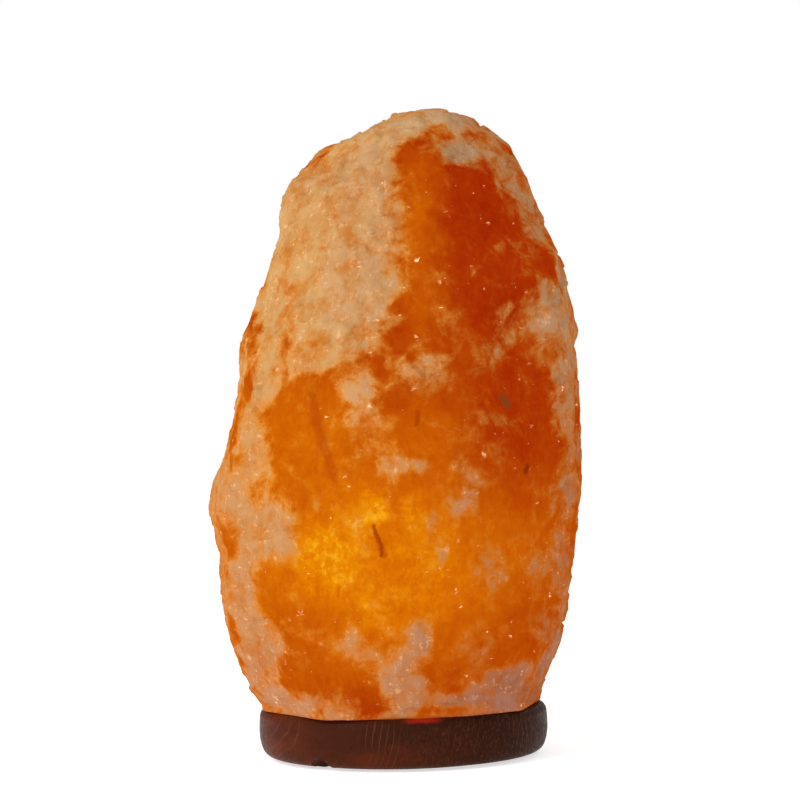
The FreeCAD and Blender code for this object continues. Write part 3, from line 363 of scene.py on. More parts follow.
# The patches' rims wander.
DRIFT, DRIFT_SIZE = 0.0045, 0.016
drift_x = x + DRIFT * noise_at(DRIFT_SIZE, 4.0)
drift_z = z + DRIFT * noise_at(DRIFT_SIZE, 9.0)


def patch(mark, soft):
    """How far inside an oval patch each vertex lies: 1 at its heart, 0.5 on its rim, 0 outside."""
    lean = math.radians(mark[4])
    right_of, up = 1000 * drift_x - mark[0], 1000 * drift_z - mark[1]
    along = right_of * math.cos(lean) + up * math.sin(lean)
    over = up * math.cos(lean) - right_of * math.sin(lean)
    inside = np.clip((1 - np.hypot(along / mark[2], over / mark[3])) / soft + 0.5, 0, 1)
    return inside * inside * (3 - 2 * inside)


# Crust: as listed on the front, by chance on the back, and along the outline all round.
THINNEST, THIN_SHARE = 0.06, 0.62
CRUST_SOFTNESS, PANE_SOFTNESS, LIGHT_SOFTNESS = 1.5, 1.2, 1.4
facing = np.empty(len(at) * 3, np.float32)
lump.data.vertex_normals.foreach_get("vector", facing)
turned_away = grows(facing.reshape(-1, 3)[:, 1], -0.62, 0.36)
front = grows(-y, -0.018, 0.03)
toward = grows(-y, -0.05, 0.02)
everywhere = np.clip(0.42 + 0.75 * noise_at(0.045, 21.0) + 0.25 * grows(z, 0.2, 0.08)
                     + 0.6 * grows(-z, -0.036, 0.014), 0, 1)
crust = np.full(len(at), THINNEST)
for marks, thickness in ((CRUST, 1.0), (THIN, THIN_SHARE)):
    for mark in marks:
        crust = 1 - (1 - crust) * (1 - thickness * patch(mark, CRUST_SOFTNESS))
crust = np.maximum(crust, THIN_SHARE * grows(-z, -0.030, 0.006))
frost = front * crust + (1 - front) * everywhere
frost = np.maximum(frost, 0.85 * grows(z, 0.270, 0.006))
rim = turned_away * np.clip(0.74 + 0.45 * noise_at(0.020, 33.0), 0.25, 1)
frost = np.maximum(frost, rim * toward)
for mark in PANES:
    frost = frost * (1 - toward * mark[5] * patch(mark, PANE_SOFTNESS))
# The crust is thinner on the right of the front above the foot, which darkens that side as painted
# shade.
frost = frost * (1 - 0.24 * toward * grows(x, 0.018, 0.03) * grows(z, 0.045, 0.02))

# Painted bulb light, kept on the vertices as glow: the same out to a clear radius around the bulb,
# then less and less.
BULB_MIDDLE = np.array((-0.006, 0.0, 0.092))
CLEAR_RADIUS = 0.068
light_way = np.linalg.norm((at - BULB_MIDDLE) * (1.0, 1.0, 0.92), axis=1)
beyond = np.maximum(light_way ** 2 - CLEAR_RADIUS ** 2, 0)
glow = 0.34 + 0.34 * np.exp(-beyond / 0.038 ** 2) + 0.20 * np.exp(-beyond / 0.085 ** 2)
for mark in LIGHT:
    glow = glow + front * mark[5] * patch(mark, LIGHT_SOFTNESS)
for name, values in (("frost", frost), ("glow", glow), ("hewn", hewn)):
    kept = lump.data.attributes.new(name, "FLOAT", "POINT")
    kept.data.foreach_set("value", values.astype(np.float32))


def hewn_surface():
    """Geometry Nodes that break the lump's skin up into lumps, split flakes, chips and grit."""
    tree = bpy.data.node_groups.new("hewn surface", "GeometryNodeTree")
    face = tree.interface
    face.new_socket("Geometry", in_out="INPUT", socket_type="NodeSocketGeometry")
    for name, value in (("Lump Size", 0.034), ("Lump Depth", 0.0008), ("Flake Size", 0.021),
                        ("Flake Tilt", 0.07), ("Chip Size", 0.0075), ("Chip Tilt", 0.13),
                        ("Grit Size", 0.0034), ("Grit Depth", 0.0004), ("Seed", 6.0)):
        face.new_socket(name, in_out="INPUT", socket_type="NodeSocketFloat").default_value = value
    face.new_socket("Salt", in_out="INPUT", socket_type="NodeSocketMaterial")
    face.new_socket("Geometry", in_out="OUTPUT", socket_type="NodeSocketGeometry")
    given = add(tree, "NodeGroupInput").outputs
    spot = add(tree, "GeometryNodeInputPosition").outputs[0]

    def stored(name):
        return add(tree, "GeometryNodeInputNamedAttribute", {"Name": name},
                   data_type="FLOAT").outputs[0]

    def vectors(how, inputs, out=0):
        return add(tree, "ShaderNodeVectorMath", inputs, operation=how).outputs[out]

    def rough(size, detail, out_name):
        return add(tree, "ShaderNodeTexNoise", {
            "Vector": spot, "W": given["Seed"], "Scale": maths(tree, "DIVIDE", 1.0, size),
            "Detail": detail}, noise_dimensions="4D").outputs[out_name]

    def plates(size, tilt, stray):
        """Split faces: each cell of a broken grid is a plane of its own, tilted its own way."""
        wander = vectors("SUBTRACT", {0: rough(size, 2.0, "Color"), 1: (0.5, 0.5, 0.5)})
        bent = vectors("MULTIPLY_ADD", {0: wander, 1: (stray, stray, stray), 2: spot})
        cells = add(tree, "ShaderNodeTexVoronoi", {
            "Vector": bent, "W": given["Seed"], "Randomness": 1.0,
            "Scale": maths(tree, "DIVIDE", 1.0, size)}, voronoi_dimensions="4D").outputs
        lean = vectors("MULTIPLY_ADD", {0: cells["Color"], 1: (2, 2, 2), 2: (-1, -1, -1)})
        reach = vectors("SUBTRACT", {0: bent, 1: cells["Position"]})
        return product(tree, vectors("DOT_PRODUCT", {0: reach, 1: lean}, "Value"), tilt)

    def about_zero(value, depth):
        return product(tree, maths(tree, "SUBTRACT", value, 0.5), depth)

    def more_on_crust(relief, on_crust, anywhere):
        share = maths(tree, "MULTIPLY_ADD", stored("frost"), on_crust, anywhere)
        return product(tree, relief, share)

    lump_height = product(tree, given["Lump Depth"], 2.0)
    lumps = about_zero(rough(given["Lump Size"], 2.0, "Fac"), lump_height)
    flakes = plates(given["Flake Size"], given["Flake Tilt"], 0.010)
    chips = more_on_crust(plates(given["Chip Size"], given["Chip Tilt"], 0.004), 0.7, 0.4)
    grit = about_zero(rough(given["Grit Size"], 3.0, "Fac"), given["Grit Depth"])
    grit = more_on_crust(grit, 1.2, 0.4)
    relief = maths(tree, "ADD", maths(tree, "ADD", lumps, flakes), maths(tree, "ADD", chips, grit))
    relief = product(tree, relief, stored("hewn"))
    outwards = add(tree, "GeometryNodeInputNormal").outputs[0]
    move = vectors("SCALE", {0: outwards, "Scale": relief})
    moved = add(tree, "GeometryNodeSetPosition", {"Geometry": given["Geometry"], "Offset": move})
    smooth = add(tree, "GeometryNodeSetShadeSmooth", {0: moved.outputs[0]})
    real = add(tree, "GeometryNodeRealizeInstances", {0: smooth.outputs[0]})
    dressed = add(tree, "GeometryNodeSetMaterial", {"Geometry": real.outputs[0],
                                                    "Material": given["Salt"]})
    add(tree, "NodeGroupOutput", {0: dressed.outputs[0]})
    return tree


def painted(name):
    """A value kept on the lump's vertices."""
    return add(salt, "ShaderNodeAttribute", attribute_name=name).outputs["Fac"]


def sway(tree, value, noise_value, amount):
    """A value moved up or down by soft noise."""
    return maths(tree, "MULTIPLY_ADD", maths(tree, "SUBTRACT", noise_value, 0.5), amount, value)


def facets(tree, place, density, out):
    """A value of its own for each cell of a broken grid, with so many cells in a metre."""
    cells = add(tree, "ShaderNodeTexVoronoi", {"Vector": place, "Scale": density})
    return add(tree, "ShaderNodeSeparateColor", {0: cells.outputs["Color"]}).outputs[out]


def colour_scale(tree, value, first, last, between):
    """Colours along a value from 0 to 1: the first, the last, and steps between them."""
    scale = add(tree, "ShaderNodeValToRGB", {"Fac": value})
    steps = scale.color_ramp.elements
    steps[0].color, steps[1].color = (*first, 1), (*last, 1)
    for step, colour in between:
        steps.new(step).color = (*colour, 1)
    return scale.outputs[0]


def line_mark():
    """Node group: how near a place lies to a line on the lump's front, 1 on it, 0 a width away."""
    tree = bpy.data.node_groups.new("line mark", "ShaderNodeTree")
    face = tree.interface
    for name in ("Place", "Start", "End"):
        face.new_socket(name, in_out="INPUT", socket_type="NodeSocketVector")
    face.new_socket("Width", in_out="INPUT", socket_type="NodeSocketFloat")
    face.new_socket("Mark", in_out="OUTPUT", socket_type="NodeSocketFloat")
    given = add(tree, "NodeGroupInput").outputs

    def vectors(how, a, b, out=0):
        return add(tree, "ShaderNodeVectorMath", {0: a, 1: b}, operation=how).outputs[out]

    flat = vectors("MULTIPLY", given["Place"], (1, 0, 1))
    from_start = vectors("SUBTRACT", flat, given["Start"])
    whole = vectors("SUBTRACT", given["End"], given["Start"])
    share = add(tree, "ShaderNodeMath", {0: vectors("DOT_PRODUCT", from_start, whole, "Value"),
                                         1: vectors("DOT_PRODUCT", whole, whole, "Value")},
                operation="DIVIDE", use_clamp=True).outputs[0]
    nearest = add(tree, "ShaderNodeVectorMath", {0: whole, "Scale": share}, operation="SCALE")
    away = vectors("DISTANCE", from_start, nearest.outputs[0], "Value")
    near = spread(tree, maths(tree, "DIVIDE", away, given["Width"]), 0.25, 1.0, 1.0, 0.0)
    before = spread(tree, parts_of(tree, given["Place"])["Y"], -0.03, -0.01, 1.0, 0.0)
    add(tree, "NodeGroupOutput", {0: product(tree, near, before)})
    return tree


salt_paint, salt, salt_skin = shading("lit_rock_salt", Specular_IOR_Level=0.0, IOR=1.54,
                                      Emission_Strength=1.0)
place = object_place(salt)
along = parts_of(salt, place)
frosting, glowing = painted("frost"), painted("glow")

# Patterns in the salt, from broad blotches down to needles and scratches, and painted glints.
wander = add(salt, "ShaderNodeVectorMath", {
    0: cloud(salt, place, size=0.010, detail=4.0, rough=0.6, seed=2.0, out="Color"),
    1: (0.5, 0.5, 0.5)}, operation="SUBTRACT").outputs[0]
strayed = add(salt, "ShaderNodeVectorMath", {0: wander, 1: (0.008, 0.008, 0.008), 2: place},
              operation="MULTIPLY_ADD").outputs[0]
blotch = cloud(salt, place, size=0.018, detail=5.0, rough=0.62, seed=1.0)
feather = cloud(salt, place, size=0.010, detail=5.0, rough=0.58, seed=9.0, swirl=0.8)
grain = cloud(salt, place, size=0.0034, detail=4.0, rough=0.62, seed=4.0, swirl=0.5)
upright = add(salt, "ShaderNodeMapping", {"Vector": strayed, "Rotation": (0.15, 0.25, 0),
                                          "Scale": (1, 1, 0.24)}).outputs[0]
needles = cloud(salt, upright, size=0.0018, detail=5.0, rough=0.62, seed=6.0, swirl=0.4)
scratches = cloud(salt, object_place(salt, (0.35, 0.6, 1), (0.0, 0.75, 0.3)), size=0.0019,
                  detail=5.0, rough=0.62, seed=7.0, swirl=0.8)
facet = facets(salt, strayed, 170.0, 0)
small_facet = facets(salt, strayed, 430.0, 1)
glint_pick = facets(salt, object_place(salt, (1, 1, 0.6), (0.4, 0.6, 0.2)), 620.0, 0)
glint = product(salt, spread(salt, glint_pick, 0.955, 0.975), spread(salt, scratches, 0.56, 0.70))

# How thick the crust is: the painted patches with feathered, flecked edges, bare along scratches.
uneven = sway(salt, sway(salt, product(salt, blotch, 1.5), feather, 1.6), grain, 0.7)
uneven = product(salt, maths(salt, "SUBTRACT", uneven, 0.75),
                 spread(salt, frosting, 0.35, 1.0, 1.0, 0.5))
cover = spread(salt, maths(salt, "ADD", frosting, uneven), 0.08, 1.04)
bare = product(salt, spread(salt, scratches, 0.50, 0.68),
               spread(salt, feather, 0.42, 0.56, 0.45, 0.0))
cover = product(salt, cover, maths(salt, "SUBTRACT", 1.0, bare))

# Painted light in the clear salt, standing in for the bulb's light: broken by swirls and needles,
# and by facets where it is strong. Under the crust it is stronger, the more so the darker the
# place is.
UNDER_CRUST = 0.36
lift = maths(salt, "MULTIPLY_ADD", glowing, -UNDER_CRUST, UNDER_CRUST)
heat = maths(salt, "MULTIPLY_ADD", cover, lift, glowing)
for pattern, amount in ((blotch, 0.28), (feather, 0.24), (grain, 0.12), (needles, 0.22)):
    heat = sway(salt, heat, pattern, amount)
near_bulb = spread(salt, glowing, 0.55, 0.85, 0.25, 1.0)
for pattern, amount in ((facet, 0.06), (small_facet, 0.09)):
    shift = product(salt, maths(salt, "SUBTRACT", pattern, 0.5), near_bulb)
    heat = maths(salt, "MULTIPLY_ADD", shift, amount, heat)
inside_light = colour_scale(salt, heat, (0.05, 0.001, 0.0005), (0.92, 0.43, 0.010), (
    (0.20, (0.30, 0.010, 0.0004)), (0.33, (0.37, 0.025, 0.0006)), (0.50, (0.46, 0.066, 0.0008)),
    (0.65, (0.57, 0.110, 0.0010)), (0.78, (0.67, 0.160, 0.0008)), (0.90, (0.78, 0.245, 0.001))))
MARK_SPREAD = 1.6
line_group = line_mark()
for start, end, half_width, colour, strength in MARKS:
    mark = add(salt, "ShaderNodeGroup", node_tree=line_group)
    salt.links.new(strayed, mark.inputs["Place"])
    mark.inputs["Start"].default_value = (start[0] / 1000, 0, start[1] / 1000)
    mark.inputs["End"].default_value = (end[0] / 1000, 0, end[1] / 1000)
    mark.inputs["Width"].default_value = MARK_SPREAD * half_width / 1000
    inside_light = tint(salt, product(salt, mark.outputs[0], strength), inside_light, (*colour, 1))

# The crust's colour: orange where it is thin, cream where thick, pinker low down, and tan in its
# hollows. Painted shade makes it duller on the right, and a painted highlight paler at the very
# top.
skin = colour_scale(salt, cover, (0.050, 0.010, 0.0006), (0.50, 0.280, 0.112), (
    (0.30, (0.22, 0.092, 0.010)), (0.65, (0.41, 0.205, 0.056))))
by_height = tint(salt, spread(salt, along["Z"], 0.07, 0.20), (0.80, 0.73, 0.84, 1),
                 (0.90, 0.97, 0.97, 1))
skin = tint(salt, 1.0, skin, by_height, "MULTIPLY")
rosy = maths(salt, "ADD", spread(salt, along["X"], -0.055, 0.0),
             spread(salt, along["Z"], 0.03, 0.08, 0.8, 0.0))
rosy = sway(salt, rosy, cloud(salt, place, size=0.022, detail=3.0, rough=0.5, seed=15.0), 2.2)
rose = tint(salt, spread(salt, rosy, 0.0, 1.0), (1.00, 1.00, 0.98, 1), (0.96, 0.94, 1.08, 1))
skin = tint(salt, 1.0, skin, rose, "MULTIPLY")
# Painted shade: the crust is darker on the right side.
painted_right_shade = tint(salt, spread(salt, along["Z"], 0.05, 0.22), (0.80, 0.75, 1.0, 1),
            (0.88, 0.98, 1.25, 1))
skin = tint(salt, spread(salt, along["X"], -0.005, 0.035), skin, painted_right_shade, "MULTIPLY")
# Painted highlight: the very top is paler, as if lit more from above.
skin = tint(salt, spread(salt, along["Z"], 0.255, 0.275), skin, (1.14, 1.20, 1.20, 1), "MULTIPLY")
hollow = spread(salt, sway(salt, feather, grain, 0.6), 0.34, 0.56, 0.75, 0.0)
skin = tint(salt, hollow, skin, (0.90, 0.68, 0.38, 1), "MULTIPLY")
skin = tint(salt, spread(salt, blotch, 0.36, 0.56, 0.85, 0.0), skin, (0.92, 0.76, 0.56, 1),
            "MULTIPLY")
# Pale streaks along needles and scratches on the crust: partly real scratch marks, partly painted
# highlights.
pale_streaks_and_highlights = product(salt, spread(salt, sway(salt, needles, scratches, 1.0), 0.58, 0.74), cover)
skin = tint(salt, product(salt, pale_streaks_and_highlights, 0.38), skin, (0.80, 0.52, 0.30, 1))
# Painted glints: small bright specks laid on the crust's colour.
skin = tint(salt, product(salt, glint, 0.8), skin, (0.88, 0.62, 0.40, 1))
salt.links.new(skin, salt_skin.inputs["Base Color"])

# The painted bulb light leaves as emission, dimmed under the crust, with the painted glints glowing
# orange.
through_crust = tint(salt, cover, WHITE, (0.15, 0.15, 0.15, 1))
inner = tint(salt, 1.0, inside_light, through_crust, "MULTIPLY")
inner = tint(salt, product(salt, glint, 0.35), inner, (0.85, 0.40, 0.06, 1))
salt.links.new(inner, salt_skin.inputs["Emission Color"])
salt.links.new(spread(salt, cover, 0.0, 1.0, 0.40, 0.75), salt_skin.inputs["Roughness"])
lines = product(salt, maths(salt, "ADD", needles, scratches), 0.35)
skin_height = maths(salt, "ADD", maths(salt, "MULTIPLY_ADD", feather, 1.5, grain), lines)
pitted = add(salt, "ShaderNodeBump", {"Strength": 0.7, "Distance": 0.0008, "Height": skin_height})
salt.links.new(pitted.outputs[0], salt_skin.inputs["Normal"])


def apply_tree(piece, tree, **values):
    """Runs a node tree on a piece, with inputs set by name, and leaves a plain mesh."""
    step = piece.modifiers.new(tree.name, "NODES")
    step.node_group = tree
    for item in tree.interface.items_tree:
        if item.item_type == "SOCKET" and item.in_out == "INPUT" and item.name in values:
            step[item.identifier] = values[item.name]
    settle(piece)


apply_tree(lump, hewn_surface(), Salt=salt_paint)
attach(lump, "lamp_body")
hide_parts("salt_crystal")


# ---- Felt pad -----------------------------------------------------------------------------------
# A ring of thin brown-black wool felt glued under the disc, so that it doesn't mark the table.
felt_cloth, felt, felt_skin = shading("wool_felt", Specular_IOR_Level=0.1, Sheen_Weight=0.1,
                                      Roughness=0.95)
place = object_place(felt)
hairs = cloud(felt, place, size=0.0007, detail=6.0, rough=0.7, seed=3.0, swirl=3.0)
matted = cloud(felt, place, size=0.006, detail=4.0, rough=0.6, seed=5.0, swirl=1.0)
wool = tint(felt, spread(felt, hairs, 0.35, 0.65), (0.012, 0.009, 0.008, 1),
            (0.050, 0.038, 0.032, 1))
wool = tint(felt, spread(felt, matted, 0.40, 0.62, 0.0, 0.45), wool, (0.016, 0.012, 0.010, 1))
felt.links.new(wool, felt_skin.inputs["Base Color"])
nap = add(felt, "ShaderNodeBump", {"Strength": 0.8, "Distance": 0.0004,
                                   "Height": sway(felt, hairs, matted, 0.6)})
felt.links.new(nap.outputs[0], felt_skin.inputs["Normal"])
dress(felt_cloth, "felt_pad")


# ---- Base screws and plugs ----------------------------------------------------------------------
# Three zinc-plated wood screws with crossed slots come up through the disc into grey nylon plugs
# in the salt.
def effect(name, numbers, colours):
    """An empty node group for a finish that several pieces share, and its input sockets."""
    tree = bpy.data.node_groups.new(name, "ShaderNodeTree")
    inputs = [("Place", "NodeSocketVector")]
    inputs += [(label, "NodeSocketFloat") for label in numbers]
    inputs += [(label, "NodeSocketColor") for label in colours]
    outputs = [("Color", "NodeSocketColor"), ("Roughness", "NodeSocketFloat"),
               ("Height", "NodeSocketFloat")]
    for way, sockets in (("INPUT", inputs), ("OUTPUT", outputs)):
        for label, kind in sockets:
            tree.interface.new_socket(label, in_out=way, socket_type=kind)
    return tree, add(tree, "NodeGroupInput").outputs


def worn_metal():
    """Metal dulled in soft blotches, with fine marks from the tool."""
    tree, given = effect("worn metal", ("Polish", "Dullness"), ("Bright", "Tarnish"))
    dulled = cloud(tree, given["Place"], size=0.004, detail=5.0, rough=0.65, seed=2.0, swirl=0.6)
    dulled = spread(tree, dulled, 0.40, 0.66)
    marks = cloud(tree, given["Place"], size=0.0005, detail=4.0, rough=0.7, seed=6.0)
    colour = tint(tree, product(tree, dulled, 0.75), given["Bright"], given["Tarnish"])
    rough = maths(tree, "MULTIPLY_ADD", dulled, given["Dullness"], given["Polish"])
    add(tree, "NodeGroupOutput", {0: colour, 1: sway(tree, rough, marks, 0.18),
                                  2: maths(tree, "MULTIPLY_ADD", dulled, 0.4, marks)})
    return tree


def moulded_skin():
    """Pressed or fired material with a faint orange-peel skin and small flecks in its mass."""
    tree, given = effect("moulded skin", ("Polish", "Dullness", "Fleck Share"), ("Mass", "Fleck"))
    peel = cloud(tree, given["Place"], size=0.0011, detail=3.0, rough=0.5, seed=4.0)
    rubbed = cloud(tree, given["Place"], size=0.007, detail=4.0, rough=0.6, seed=8.0, swirl=0.8)
    rubbed = spread(tree, rubbed, 0.42, 0.64)
    flecks = cloud(tree, given["Place"], size=0.0006, detail=4.0, rough=0.7, seed=12.0)
    flecks = spread(tree, flecks, 0.58, 0.68)
    colour = tint(tree, product(tree, flecks, given["Fleck Share"]), given["Mass"],
                  given["Fleck"])
    rough = maths(tree, "MULTIPLY_ADD", rubbed, given["Dullness"], given["Polish"])
    add(tree, "NodeGroupOutput", {0: colour, 1: rough,
                                  2: maths(tree, "MULTIPLY_ADD", flecks, 0.25, peel)})
    return tree


def finished(name, group, relief, values, **constants):
    """A material whose colour, roughness and fine relief come from a shared finish."""
    material, tree, shader = shading(name, **constants)
    finish = add(tree, "ShaderNodeGroup", node_tree=group)
    tree.links.new(object_place(tree), finish.inputs["Place"])
    for key, value in values.items():
        finish.inputs[key].default_value = value
    tree.links.new(finish.outputs["Color"], shader.inputs["Base Color"])
    tree.links.new(finish.outputs["Roughness"], shader.inputs["Roughness"])
    bump = add(tree, "ShaderNodeBump", {"Strength": 0.5, "Distance": relief,
                                        "Height": finish.outputs["Height"]})
    tree.links.new(bump.outputs[0], shader.inputs["Normal"])
    return material


metal_finish = worn_metal()
skin_finish = moulded_skin()


def metal(name, relief, polish, dullness, bright, tarnish, **constants):
    """A bare or plated metal: how rough it is, how much more so where dulled, and its colours."""
    return finished(name, metal_finish, relief, {
        "Polish": polish, "Dullness": dullness, "Bright": (*bright, 1),
        "Tarnish": (*tarnish, 1)}, Metallic=1.0, **constants)


def moulding(name, relief, polish, dullness, fleck_share, mass, fleck, **constants):
    """A moulded or fired material: its roughness likewise, its flecks, and its colours."""
    return finished(name, skin_finish, relief, {
        "Polish": polish, "Dullness": dullness, "Fleck Share": fleck_share,
        "Mass": (*mass, 1), "Fleck": (*fleck, 1)}, **constants)


dress(metal("zinc_plated_steel", relief=0.00004, polish=0.24, dullness=0.22,
            bright=(0.62, 0.61, 0.57), tarnish=(0.40, 0.38, 0.33)), "base_screws")
dress(moulding("grey_nylon", relief=0.00005, polish=0.42, dullness=0.18, fleck_share=0.25,
               mass=(0.22, 0.22, 0.21), fleck=(0.32, 0.32, 0.31)), "screw_plugs")


# ---- Lampholder ---------------------------------------------------------------------------------
# Black phenolic cap and sleeve with a rubber bush for the cord, and a white steatite insert inside
# that carries the live parts.
dress(moulding("black_phenolic", relief=0.00006, polish=0.24, dullness=0.22, fleck_share=0.30,
               mass=(0.010, 0.009, 0.009), fleck=(0.030, 0.026, 0.023), Coat_Weight=0.15,
               Coat_Roughness=0.2), "holder_cap", "holder_sleeve")
dress(moulding("black_rubber", relief=0.00008, polish=0.62, dullness=0.20, fleck_share=0.20,
               mass=(0.014, 0.014, 0.015), fleck=(0.040, 0.040, 0.042),
               Specular_IOR_Level=0.35), "entry_bush")
dress(moulding("white_steatite", relief=0.00006, polish=0.34, dullness=0.20, fleck_share=0.45,
               mass=(0.70, 0.66, 0.57), fleck=(0.46, 0.40, 0.31)), "contact_insert")


# ---- Contacts and threaded shell ----------------------------------------------------------------
# Stamped brass strips with their clamp screws, and the brass shell, which has a 14 mm round thread
# rolled into it with a turn every 2.82 mm. The bulb's cap has the same thread, a little smaller.
THREAD_PITCH, THREAD_DEPTH = 2.82, 0.76
THREAD_RUN_IN = 1.1
SLOT_HALF_WIDTH = 2.75


def rolled_thread(name, outline, low, high, lift, gap_top=None):
    """A sheet-metal tube from its closed outline in mm, (radius, height) pairs, with a round
    thread between two heights. The thread swells it by lift, or draws it in where lift is
    negative; gap_top is the height of a slot at its foot."""
    around, step = 96, 0.30
    edge_places = []
    for (r_start, z_start), (r_end, z_end) in zip(outline, outline[1:] + outline[:1]):
        r_step, z_step = r_end - r_start, z_end - z_start
        parts = max(1, round(math.hypot(r_step, z_step) / step))
        edge_places += [(r_start + r_step * part / parts, z_start + z_step * part / parts)
                        for part in range(parts)]
    sheet = bmesh.new()
    columns = []
    for turn in np.arange(around) * 2 * math.pi / around:
        column = []
        for radius, level in edge_places:
            ends = min(max(min(level - low, high - level) / THREAD_RUN_IN, 0), 1)
            crest = math.cos(2 * math.pi * level / THREAD_PITCH - turn)
            wave = 0.5 + math.copysign(0.5, lift) * crest
            radius = radius + lift * ends * ends * (3 - 2 * ends) * wave
            beside = abs(radius * math.sin(turn))
            if gap_top and math.cos(turn) < 0 and beside < SLOT_HALF_WIDTH:
                level = max(level, gap_top)
            corner = (radius * math.cos(turn) / 1000, radius * math.sin(turn) / 1000, level / 1000)
            column.append(sheet.verts.new(corner))
        columns.append(column)
    for here, there in zip(columns, columns[1:] + columns[:1]):
        for a, b, c, d in zip(here, here[1:] + here[:1], there[1:] + there[:1], there):
            sheet.faces.new((a, d, c, b))
    bmesh.ops.remove_doubles(sheet, verts=sheet.verts, dist=1e-7)
    bmesh.ops.recalc_face_normals(sheet, faces=sheet.faces)
    for face in sheet.faces:
        face.smooth = True
    mesh = bpy.data.meshes.new(name)
    sheet.to_mesh(mesh)
    sheet.free()
    piece = bpy.data.objects.new(name, mesh)
    scene.collection.objects.link(piece)
    return piece


def place_piece(piece, body, node, material):
    """Fits a made piece in the frame: its body, the node it stands for and material."""
    piece.data.materials.append(material)
    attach(piece, body)
    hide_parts(node)


brass = metal("stamped_brass", relief=0.00004, polish=0.20, dullness=0.24,
              bright=(0.72, 0.50, 0.20), tarnish=(0.42, 0.25, 0.09))
dress(brass, "centre_contact", "side_contact", "terminal_screws")
shell = rolled_thread("rolled_shell", [(7.65, 37.0), (7.65, 50.8), (7.25, 50.8), (7.25, 37.0)],
                      low=37.9, high=50.7, lift=-THREAD_DEPTH, gap_top=37.8)
place_piece(shell, "lampholder", "threaded_shell", brass)


# ---- Spring clips -------------------------------------------------------------------------------
# Two wings of bright spring steel strip, riveted to flats on the sleeve. Squeezed, they let the
# holder slide out.
dress(metal("spring_steel", relief=0.00003, polish=0.18, dullness=0.20,
            bright=(0.60, 0.59, 0.57), tarnish=(0.36, 0.33, 0.30), Anisotropic=0.3),
      "clip_feet", "left_wing", "right_wing")
dress(metal("nickel_rivet", relief=0.00003, polish=0.22, dullness=0.22,
            bright=(0.66, 0.62, 0.54), tarnish=(0.42, 0.38, 0.31)), "clip_rivets")


# ---- Bulb ---------------------------------------------------------------------------------------
# A small pear-shaped bulb: clear glass on a nickelled screw cap, a pressed glass stem with two
# lead wires and a middle support, and a lit coil arched between them.
bulb_glass_paint, glass, glass_skin = shading("clear_bulb_glass", Transmission_Weight=1.0,
                                              IOR=1.5, Base_Color=WHITE)
haze = cloud(glass, object_place(glass), size=0.010, detail=3.0, rough=0.5, seed=2.0)
glass.links.new(spread(glass, haze, 0.40, 0.70, 0.0, 0.05), glass_skin.inputs["Roughness"])
draw_lines = cloud(glass, object_place(glass, (1, 1, 0.5)), size=0.012, detail=2.0, rough=0.4,
                   seed=7.0)
drawn = add(glass, "ShaderNodeBump", {"Strength": 0.12, "Distance": 0.0003, "Height": draw_lines})
glass.links.new(drawn.outputs[0], glass_skin.inputs["Normal"])
dress(bulb_glass_paint, "bulb_glass", "bulb_stem")

dress(metal("nickel_wire", relief=0.00002, polish=0.26, dullness=0.20,
            bright=(0.56, 0.53, 0.48), tarnish=(0.34, 0.30, 0.26)),
      "bulb_lead_wires", "bulb_filament_support")
dress(moulding("black_glass", relief=0.00004, polish=0.08, dullness=0.10, fleck_share=0.15,
               mass=(0.006, 0.005, 0.010), fleck=(0.030, 0.022, 0.045), Coat_Weight=0.4),
      "bulb_insulator")
dress(metal("soft_solder", relief=0.00006, polish=0.34, dullness=0.26,
            bright=(0.58, 0.57, 0.55), tarnish=(0.32, 0.31, 0.30)), "bulb_tip_contact")

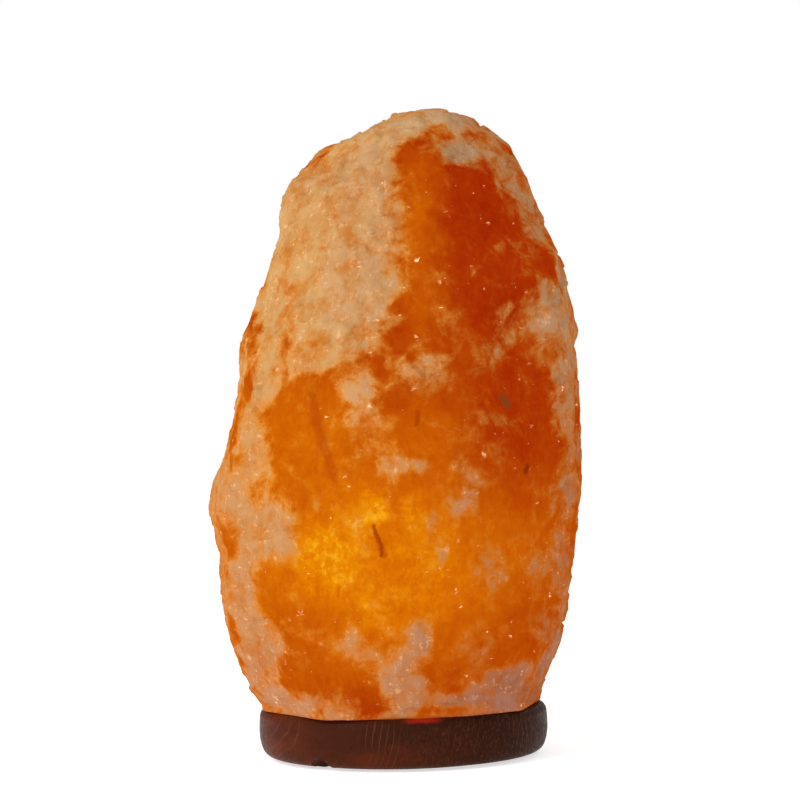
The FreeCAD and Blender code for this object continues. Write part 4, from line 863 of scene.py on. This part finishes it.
CAP_OUTLINE = [
    (5.0, 39.9), (5.7, 40.1), (6.1, 40.6), (6.24, 41.4), (6.24, 54.9), (6.5, 55.4), (6.9, 55.8),
    (7.0, 56.4), (7.0, 57.9), (7.1, 58.8), (7.4, 59.7), (7.8, 60.4), (7.45, 60.4), (7.1, 59.9),
    (6.75, 58.9), (6.65, 57.9), (6.65, 56.5), (6.2, 55.8), (5.89, 54.9), (5.89, 41.5), (5.7, 40.8),
    (5.5, 40.4), (5.0, 40.25),
]
cap = rolled_thread("rolled_cap", CAP_OUTLINE, low=42.0, high=55.0, lift=THREAD_DEPTH)
nickelled = metal("nickelled_brass", relief=0.00003, polish=0.16, dullness=0.24,
                  bright=(0.68, 0.64, 0.55), tarnish=(0.46, 0.40, 0.30))
place_piece(cap, "bulb", "bulb_cap", nickelled)

# The filament hangs on an arch 13 mm wide and 3 mm high, in 74 turns.
ARCH_RADIUS, ARCH_TOP, HALF_ANGLE = 0.00854, 0.0854, math.asin(6.5 / 8.54)
TURNS, TURN_STEPS, COIL_RADIUS, WIRE_RADIUS = 74, 10, 0.00028, 0.00006
coil = bpy.data.curves.new("filament_coil", "CURVE")
coil.dimensions = "3D"
coil.bevel_depth = WIRE_RADIUS
coil.bevel_resolution = 1
coil.use_fill_caps = True
way = np.linspace(0, 1, TURNS * TURN_STEPS)
lean = (2 * way - 1) * HALF_ANGLE
spin = way * TURNS * 2 * math.pi
from_middle = ARCH_RADIUS + COIL_RADIUS * np.cos(spin)
thread = coil.splines.new("POLY")
thread.points.add(len(way) - 1)
thread.points.foreach_set("co", np.column_stack((
    from_middle * np.sin(lean), COIL_RADIUS * np.sin(spin),
    ARCH_TOP - ARCH_RADIUS + from_middle * np.cos(lean),
    np.ones(len(way)))).astype(np.float32).ravel())
coil_object = bpy.data.objects.new("filament_coil", coil)
scene.collection.objects.link(coil_object)
wound = bpy.data.meshes.new_from_object(
    coil_object.evaluated_get(bpy.context.evaluated_depsgraph_get()))
bpy.data.objects.remove(coil_object)
filament = bpy.data.objects.new("lit_filament", wound)
scene.collection.objects.link(filament)

filament_paint, tungsten, tungsten_skin = shading(
    "lit_tungsten", Metallic=1.0, Roughness=0.5, Emission_Strength=14.0,
    Base_Color=(0.30, 0.27, 0.25, 1))
place = object_place(tungsten)
from_top = maths(tungsten, "ABSOLUTE", parts_of(tungsten, place)["X"])
hot = spread(tungsten, from_top, 0.0045, 0.0066, 1.0, 0.0)
hot = sway(tungsten, hot, cloud(tungsten, place, size=0.0012, detail=2.0, rough=0.5, seed=3.0), 0.3)
tungsten.links.new(tint(tungsten, hot, (0.30, 0.030, 0.001, 1), (1.0, 0.62, 0.26, 1)),
                   tungsten_skin.inputs["Emission Color"])
place_piece(filament, "bulb", "bulb_filament", filament_paint)
